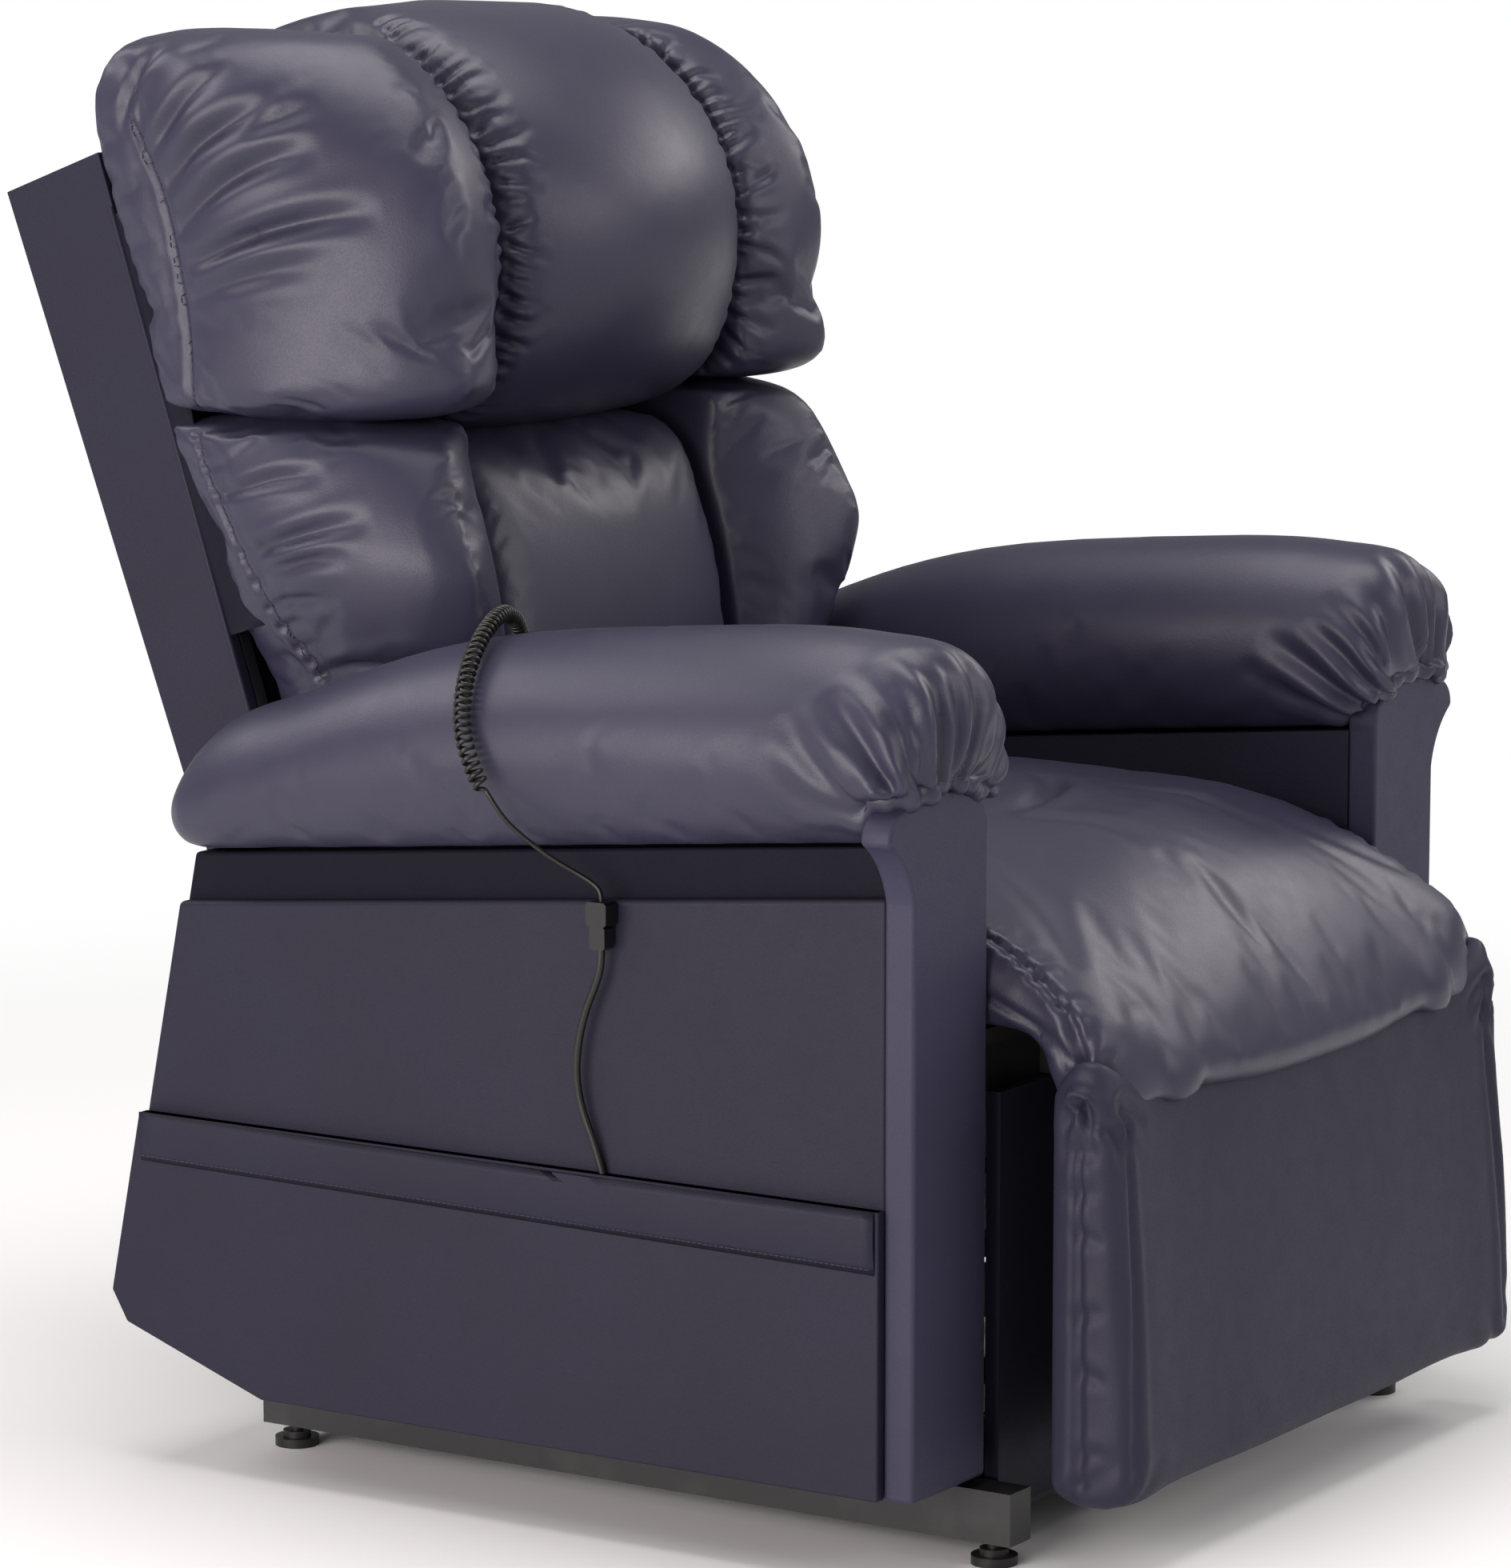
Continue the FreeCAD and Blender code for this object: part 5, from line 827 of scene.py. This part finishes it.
chance = random.Random(7)
middle_half = 0.171
pillow_seam = [
    (-0.136, 0.268, 1.120), (-0.150, 0.235, 1.105), (-0.160, 0.200, 1.085), (-0.166, 0.165, 1.055),
    (-0.169, 0.140, 1.020), (-0.170, 0.127, 0.975), (-0.170, 0.124, 0.930), (-0.170, 0.133, 0.880),
    (-0.168, 0.155, 0.838), (-0.162, 0.190, 0.808),
]
pillow = sewn_copy("head_pillow_cover", "head_pillow")
across = np.abs(spots_of(pillow)[:, 0])
stuffed(pillow, (across > 0.162).astype(float), share_near(middle_half - across, 0.07),
        (0.012, 0.12))
fine_skin(pillow)
folded(pillow, gathers(pillow, pillow_seam, 1, 0.015, 0.042, 0.0035, 0.0042)
       + gathers(pillow, on_side(pillow_seam, 1), -1, 0.015, 0.042, 0.0035, 0.0042))
dressed(pillow, "head_pillow", "back")

# The lumbar cushion under the pillow is flatter and filled tight, so that its
# front is smooth between two straight seams.
lumbar = sewn_copy("lumbar_cover", "lumbar_cushion")
across = np.abs(spots_of(lumbar)[:, 0])
stuffed(lumbar, (across > 0.160).astype(float), share_near(middle_half - across, 0.04),
        (0.001, 0.012), pressure=3.0)
fine_skin(lumbar)
dressed(lumbar, "lumbar_cushion", "back")

# The shoulder and lower bolsters wrap the back's two sides. Folds are pulled in
# them from the stitched seam where their covers are joined to a flat side strip.
side_seam = [
    (-0.320, 0.383, 1.045), (-0.3205, 0.352, 0.985), (-0.3205, 0.336, 0.925), (-0.318, 0.325, 0.860),
    (-0.312, 0.322, 0.812),
]
low_seam = [
    (-0.310, 0.320, 0.800), (-0.317, 0.303, 0.765), (-0.316, 0.273, 0.710), (-0.303, 0.250, 0.655),
    (-0.287, 0.225, 0.612),
]
shoulder_folds = [
    ([(-0.317, 0.395, 1.030), (-0.318, 0.389, 1.057), (-0.308, 0.376, 1.085),
      (-0.290, 0.350, 1.096)], 0.005, 0.006, "both"),
    ([(-0.319, 0.368, 1.010), (-0.323, 0.341, 1.045), (-0.318, 0.316, 1.070),
      (-0.300, 0.290, 1.085)], 0.006, 0.007, "both"),
    ([(-0.320, 0.350, 0.990), (-0.325, 0.317, 1.023), (-0.321, 0.281, 1.046),
      (-0.308, 0.245, 1.062)], 0.008, 0.008, "both"),
    ([(-0.321, 0.340, 0.955), (-0.326, 0.294, 0.993), (-0.320, 0.249, 1.016),
      (-0.305, 0.205, 1.026)], 0.008, 0.008, "both"),
    ([(-0.322, 0.330, 0.930), (-0.326, 0.267, 0.956), (-0.315, 0.209, 0.972),
      (-0.290, 0.158, 0.978)], 0.009, 0.008, "both"),
    ([(-0.322, 0.330, 0.905), (-0.324, 0.285, 0.920), (-0.318, 0.240, 0.932),
      (-0.305, 0.195, 0.938)], 0.004, 0.008, "both"),
    ([(-0.321, 0.270, 1.033), (-0.311, 0.244, 1.047),
      (-0.292, 0.215, 1.060)], 0.004, 0.007, "both"),
]
low_folds = [
    ([(-0.318, 0.296, 0.754), (-0.321, 0.262, 0.764), (-0.320, 0.236, 0.771),
      (-0.312, 0.195, 0.776)], 0.005, 0.006, "both"),
    ([(-0.318, 0.270, 0.712), (-0.319, 0.208, 0.730),
      (-0.307, 0.155, 0.742)], 0.007, 0.007, "both"),
    ([(-0.318, 0.250, 0.700), (-0.318, 0.204, 0.712),
      (-0.312, 0.170, 0.716)], 0.005, 0.006, "both"),
    ([(-0.308, 0.255, 0.672), (-0.312, 0.215, 0.680),
      (-0.305, 0.180, 0.683)], 0.004, 0.006, "both"),
    ([(-0.285, 0.235, 0.612), (-0.296, 0.200, 0.618), (-0.290, 0.160, 0.628),
      (-0.270, 0.120, 0.640)], 0.007, 0.008, "both"),
]
bolster_inner = 0.172


def drawn_out(piece, free_end, run):
    """Fills out a bolster over a run of its height, where it presses on its neighbour."""
    spots = spots_of(piece)
    front = shell_front(spots[:, 2])
    more = np.clip((spots[:, 2] - free_end) / run, 0, 1) ** 2
    spots[:, 1] = front - (front - spots[:, 1]) * (1 + 0.34 * more)
    outer = np.abs(spots[:, 0]) - bolster_inner
    spots[:, 0] += np.sign(spots[:, 0]) * outer * 0.14 * more
    set_spots(piece, spots)


def sewn_seam(piece, folds, line, stitches):
    """Lays a bolster's folds, and the stitched seam of its outer side."""
    folded(piece, folds + [(line, 0.0025, 0.003, "none")])
    seam = laid(piece, line, 24)
    outward = [piece.closest_point_on_mesh(spot)[2] for spot in seam]
    stitched(stitches, seam, outward, 0.0055, "back")


for side, name in sides:
    node = "shoulder_bolster_" + name
    piece = sewn_copy(node + "_cover", node)
    drawn_out(piece, 0.905, -0.089)
    spots = spots_of(piece)
    spots[:, 2] += 0.014 * np.clip((spots[:, 2] - 0.98) / 0.11, 0, 1)
    set_spots(piece, spots)
    across = np.abs(spots[:, 0])
    seam_gap = along_line(spots, on_side(side_seam, side))[0]
    held = np.maximum(across < 0.180, seam_gap < 0.008).astype(float)
    loose = share_near(across - middle_half, 0.07) + 0.4 * share_near(seam_gap, 0.08)
    stuffed(piece, held, loose, (0.012, 0.12))
    fine_skin(piece)
    folds = gathers(piece, on_side(pillow_seam, side), side, 0.015, 0.045, 0.0035, 0.0042,
                    0.08, 0.95)
    folds += [(on_side(line, side), *rest) for line, *rest in shoulder_folds]
    sewn_seam(piece, folds, on_side(side_seam, side), "shoulder_stitches_" + name)
    dressed(piece, node, "back")

    node = "lower_bolster_" + name
    piece = sewn_copy(node + "_cover", node)
    drawn_out(piece, 0.725, 0.088)
    spots = spots_of(piece)
    bulge = (share_near(np.abs(spots[:, 2] - 0.715), 0.09)
             * np.clip((np.abs(spots[:, 0]) - 0.24) / 0.05, 0, 1))
    spots[:, 0] += side * 0.012 * bulge
    spots[:, 1] -= 0.014 * bulge
    set_spots(piece, spots)
    across = np.abs(spots[:, 0])
    seam_gap = along_line(spots, on_side(low_seam, side))[0]
    held = np.maximum(across < 0.180, seam_gap < 0.008).astype(float)
    loose = 0.5 * share_near(seam_gap, 0.07) + 0.2 * share_near(across - middle_half, 0.05)
    stuffed(piece, held, loose, (0.010, 0.12))
    fine_skin(piece)
    folds = [(on_side(line, side), *rest) for line, *rest in low_folds]
    folds += gathers(piece, on_side(low_seam, side), -side, 0.022, 0.035, 0.002, 0.0045)
    sewn_seam(piece, folds, on_side(low_seam, side), "lower_stitches_" + name)
    dressed(piece, node, "back")

# A flat strip of vinyl closes each side of the back. It is sewn to the bolsters
# near their stitched seams and tucked behind the shell's front edge. Its two
# layers lie in one place.
strip_seam = [
    (-0.300, 0.262, 0.655), (-0.308, 0.284, 0.710), (-0.310, 0.314, 0.765), (-0.309, 0.330, 0.812),
    (-0.311, 0.336, 0.860), (-0.312, 0.348, 0.925), (-0.312, 0.362, 0.985),
]
tuck = 0.003
for side, name in sides:
    seam = np.array(laid_line(on_side(strip_seam, side), 6))
    reach = (shell_front(seam[:, 2]) + welt_stand - seam[:, 1]) / (1 + shell_lean ** 2)
    edge = np.stack([np.full(len(seam), side * (shell_half - 0.001)), seam[:, 1] + reach + tuck,
                     seam[:, 2] - shell_lean * reach], axis=1)

    def strip_shape(along, back):
        """A point of the strip, which is a little full between its two edges."""
        row = round(along * (len(seam) - 1))
        spot = seam[row] * (1 - back) + edge[row] * back
        spot[0] += side * 0.003 * math.sin(math.pi * back)
        return spot

    cloth_strip("back_gusset_" + name, strip_shape, len(seam) - 1, 6, 0.0, "back")

# The arms' pads are thick rolls of foam and fibre. Their vinyl is gathered into
# the arch at the top of the front panel, and deep folds run back from there.
arch = [
    (-0.446, -0.397, 0.556), (-0.443, -0.399, 0.572), (-0.430, -0.402, 0.584), (-0.405, -0.404, 0.590),
    (-0.381, -0.405, 0.592), (-0.355, -0.404, 0.588), (-0.332, -0.402, 0.580), (-0.316, -0.398, 0.566),
]
roll_underside = 0.552
roll_fall = 0.0935
roll_folds = [
    ([(-0.447, -0.388, 0.556), (-0.450, -0.352, 0.568), (-0.452, -0.318, 0.588),
      (-0.450, -0.288, 0.612)], 0.008, 0.009),
    ([(-0.446, -0.390, 0.562), (-0.451, -0.360, 0.582), (-0.452, -0.330, 0.612),
      (-0.444, -0.300, 0.642)], 0.012, 0.009),
    ([(-0.441, -0.394, 0.568), (-0.449, -0.374, 0.590), (-0.451, -0.350, 0.616)], 0.009, 0.007),
    ([(-0.434, -0.399, 0.577), (-0.446, -0.390, 0.602), (-0.449, -0.366, 0.634),
      (-0.436, -0.330, 0.664)], 0.012, 0.009),
    ([(-0.427, -0.404, 0.584), (-0.440, -0.400, 0.612), (-0.442, -0.386, 0.636)], 0.008, 0.006),
    ([(-0.420, -0.408, 0.589), (-0.434, -0.404, 0.622), (-0.434, -0.384, 0.656),
      (-0.416, -0.338, 0.684)], 0.013, 0.009),
    ([(-0.411, -0.410, 0.592), (-0.421, -0.409, 0.631), (-0.422, -0.395, 0.660),
      (-0.408, -0.360, 0.684)], 0.009, 0.007),
    ([(-0.402, -0.410, 0.594), (-0.406, -0.411, 0.622), (-0.410, -0.406, 0.648)], 0.007, 0.006),
    ([(-0.394, -0.410, 0.595), (-0.392, -0.411, 0.630), (-0.397, -0.402, 0.664),
      (-0.396, -0.362, 0.692)], 0.012, 0.008),
    ([(-0.381, -0.410, 0.594), (-0.374, -0.411, 0.625), (-0.376, -0.404, 0.662),
      (-0.378, -0.375, 0.684)], 0.009, 0.007),
    ([(-0.368, -0.410, 0.592), (-0.352, -0.411, 0.622), (-0.347, -0.404, 0.656),
      (-0.350, -0.372, 0.686)], 0.012, 0.008),
    ([(-0.356, -0.410, 0.589), (-0.336, -0.410, 0.610), (-0.326, -0.405, 0.636)], 0.007, 0.006),
    ([(-0.345, -0.409, 0.585), (-0.320, -0.408, 0.608), (-0.308, -0.400, 0.642),
      (-0.308, -0.366, 0.668)], 0.012, 0.008),
    ([(-0.333, -0.408, 0.580), (-0.304, -0.403, 0.600), (-0.291, -0.388, 0.632),
      (-0.290, -0.350, 0.658)], 0.011, 0.008),
    ([(-0.322, -0.404, 0.573), (-0.293, -0.394, 0.588), (-0.282, -0.374, 0.614),
      (-0.280, -0.340, 0.640)], 0.010, 0.007),
    ([(-0.313, -0.396, 0.562), (-0.287, -0.374, 0.574), (-0.278, -0.345, 0.598),
      (-0.277, -0.300, 0.624)], 0.012, 0.009),
    ([(-0.309, -0.386, 0.552), (-0.284, -0.352, 0.560), (-0.278, -0.318, 0.576),
      (-0.278, -0.285, 0.596)], 0.008, 0.008),
]
for side, name in sides:
    node = "arm_pad_" + name
    piece = sewn_copy(node + "_cover", node, voxel=0.0065, smaller=0.003)
    spots = spots_of(piece)
    arch_gap = along_line(spots, on_side(arch, side))[0]
    under = spots[:, 2] < roll_underside - roll_fall * (spots[:, 1] + 0.37)
    held = np.maximum(arch_gap < 0.010, under).astype(float)
    loose = share_near(np.maximum(0, spots[:, 1] + 0.385), 0.17)
    stuffed(piece, held, loose, (0.004, 0.16), cap=0.018, pressure=3.0)
    fine_skin(piece)
    folds = []
    for line, depth, width in roll_folds:
        moved = [tuple(value + chance.uniform(-0.003, 0.003) for value in spot) for spot in line]
        folds.append((on_side(moved, side), depth * chance.uniform(0.75, 1.1), width, "seam"))
    folded(piece, folds)
    dressed(piece, node, "chassis")

# The seat cushion is one deep pad with a rounded front. Its sides are gathered
# strips between two seams, pinched together low at each front corner. The cover
# closes the slots that the cushion's solid has for the footrest's brackets.
bracket_slots = [((side * 0.2065, -0.487, 0.372), (0.030, 0.030, 0.036)) for side in (-1, 1)]
seat = sewn_copy("seat_cover", "seat_cushion", voxel=0.008, smaller=0.0015, rounds=3,
                 plugs=bracket_slots)
spots = spots_of(seat)
corner = np.clip((np.abs(spots[:, 0]) - 0.20) / 0.08, 0, 1)
nose = (np.clip((0.405 - spots[:, 2]) / 0.03, 0, 1)
        * np.clip((-0.425 + 0.025 * corner - spots[:, 1]) / 0.03, 0, 1))
at_brackets = share_near(np.abs(np.abs(spots[:, 0]) - 0.206), 0.09)
spots[:, 2] -= (0.013 + 0.012 * corner) * nose
spots[:, 1] -= (0.010 + 0.003 * at_brackets) * nose * (spots[:, 1] < -0.46)
set_spots(seat, spots)
top_seam = [
    (-0.304, -0.360, 0.497), (-0.303, -0.395, 0.487), (-0.300, -0.425, 0.462), (-0.300, -0.450, 0.430),
    (-0.302, -0.466, 0.400), (-0.304, -0.472, 0.376),
]
low_strip_seam = [
    (-0.306, -0.380, 0.430), (-0.306, -0.420, 0.411), (-0.306, -0.448, 0.394), (-0.306, -0.468, 0.378),
]
held = ((spots[:, 2] < 0.404) & (spots[:, 1] > -0.43)) | (spots[:, 2] < 0.362)
gap = np.full(len(spots), 9.0)
for side in (-1, 1):
    for line in (top_seam, low_strip_seam):
        gap = np.minimum(gap, along_line(spots, on_side(line, side))[0])
held |= gap < 0.006
stuffed(seat, held.astype(float), 0.6 * share_near(gap, 0.045), (0.006, 0.12), cap=0.012,
        pressure=2.5)
fine_skin(seat)
folds = [
    ([(-0.075, -0.272, 0.511), (-0.021, -0.262, 0.512), (0.050, -0.240, 0.512),
      (0.105, -0.205, 0.512),
      (0.125, -0.165, 0.51)], 0.009, 0.010, "both"),
    ([(-0.075, -0.272, 0.511), (-0.045, -0.320, 0.505),
      (-0.030, -0.380, 0.492)], 0.003, 0.012, "both"),
    ([(0.110, -0.260, 0.506), (0.140, -0.320, 0.498),
      (0.135, -0.391, 0.481)], 0.004, 0.012, "both"),
]
for side in (-1, 1):
    folds.append((on_side(top_seam, side), 0.004, 0.0035, "none"))
    folds.append((on_side(low_strip_seam, side), 0.004, 0.0035, "none"))
    for tip, depth in (((-0.312, -0.448, 0.398), 0.008), ((-0.300, -0.478, 0.420), 0.008),
                       ((-0.312, -0.462, 0.420), 0.007), ((-0.280, -0.492, 0.388), 0.007),
                       ((-0.306, -0.425, 0.388), 0.006), ((-0.270, -0.496, 0.372), 0.004)):
        start = (-0.305, -0.474, 0.374)
        middle = tuple((a + b) / 2 for a, b in zip(start, tip))
        folds.append((on_side([start, middle, tip], side), depth, 0.0045, "seam"))
    folds += gathers(seat, on_side(top_seam, side), -side, 0.020, 0.030, 0.0025, 0.0045)
folded(seat, folds, 0.011)
dressed(seat, "seat_cushion", "chassis")

# The footrest's pad is foam under a tight front panel, with a fuller border at
# each side that is sewn in two strips and tucked in at the lower corners.
# Painted shade: the pad's vinyl is the cushions' navy painted darker, as the shade on its upright
# front.
shaded_pad_vinyl = vinyl("shaded_pad_vinyl", navy(0.76), 0.5, 0.2, 0.0)
pad = sewn_copy("footrest_pad_cover", "footrest_pad", voxel=0.007, smaller=-0.001, rounds=3)
spots = spots_of(pad)
border = (np.clip((np.abs(spots[:, 0]) - 0.285) / 0.02, 0, 1)
          * np.clip((-0.455 - spots[:, 1]) / 0.02, 0, 1))
spots += facings_of(pad) * (border * 0.003)[:, None]
corner = np.clip((np.abs(spots[:, 0]) - 0.20) / 0.11, 0, 1)
spots[:, 2] += (0.009 + 0.015 * corner ** 2) * np.clip((spots[:, 2] - 0.27) / 0.06, 0, 1)
set_spots(pad, spots)
fine_skin(pad)
folds = []
for side in (-1, 1):
    folds.append((on_side([(-0.318, -0.479, 0.335), (-0.318, -0.480, 0.240), (-0.318, -0.481, 0.160),
                           (-0.318, -0.481, 0.075)], side), 0.004, 0.004, "none"))
    folds.append((on_side([(-0.292, -0.500, 0.335), (-0.296, -0.508, 0.250), (-0.301, -0.514, 0.165),
                           (-0.305, -0.520, 0.080)], side), 0.0035, 0.005, "none"))
    for spot in ((-0.310, -0.492, 0.318), (-0.312, -0.496, 0.292), (-0.314, -0.500, 0.252),
                 (-0.316, -0.502, 0.205), (-0.316, -0.504, 0.150), (-0.316, -0.506, 0.100)):
        tip = (spot[0] - 0.004, spot[1] + 0.030, spot[2] + chance.uniform(-0.016, 0.012))
        middle = ((spot[0] + tip[0]) / 2 - 0.004, (spot[1] + tip[1]) / 2,
                  (spot[2] + tip[2]) / 2 + 0.003)
        folds.append((on_side([spot, middle, tip], side), 0.003, 0.006, "both"))
    for tip in ((-0.280, -0.505, 0.312), (-0.300, -0.500, 0.300), (-0.318, -0.490, 0.310),
                (-0.318, -0.465, 0.326), (-0.262, -0.500, 0.335)):
        start = (-0.306, -0.480, 0.358)
        middle = tuple((a + b) / 2 for a, b in zip(start, tip))
        folds.append((on_side([start, middle, tip], side), 0.008, 0.0045, "seam"))
    folds.append((on_side([(-0.318, -0.470, 0.062), (-0.312, -0.500, 0.085),
                           (-0.300, -0.516, 0.110)], side), 0.004, 0.008, "seam"))
    folds.append((on_side([(-0.300, -0.505, 0.058), (-0.285, -0.516, 0.075),
                           (-0.262, -0.519, 0.092)], side), 0.003, 0.008, "seam"))
folded(pad, folds, 0.009)
dressed(pad, "footrest_pad", "footrest", shaded_pad_vinyl)

# The handset is a black moulded case with three rocker buttons of harder
# rubber. It lies on the seat beside the near arm.
handset_case = moulded("handset_case", (0.016, 0.016, 0.018), 0.4, 0.3, 1000.0)
button_rubber = moulded("button_rubber", (0.05, 0.05, 0.055), 0.6, 0.3, 1100.0)
finish_node("handset", handset_case)
for name in ("lift_rocker", "recline_rocker", "footrest_rocker"):
    finish_node(name, button_rubber)

bpy.context.view_layer.update()
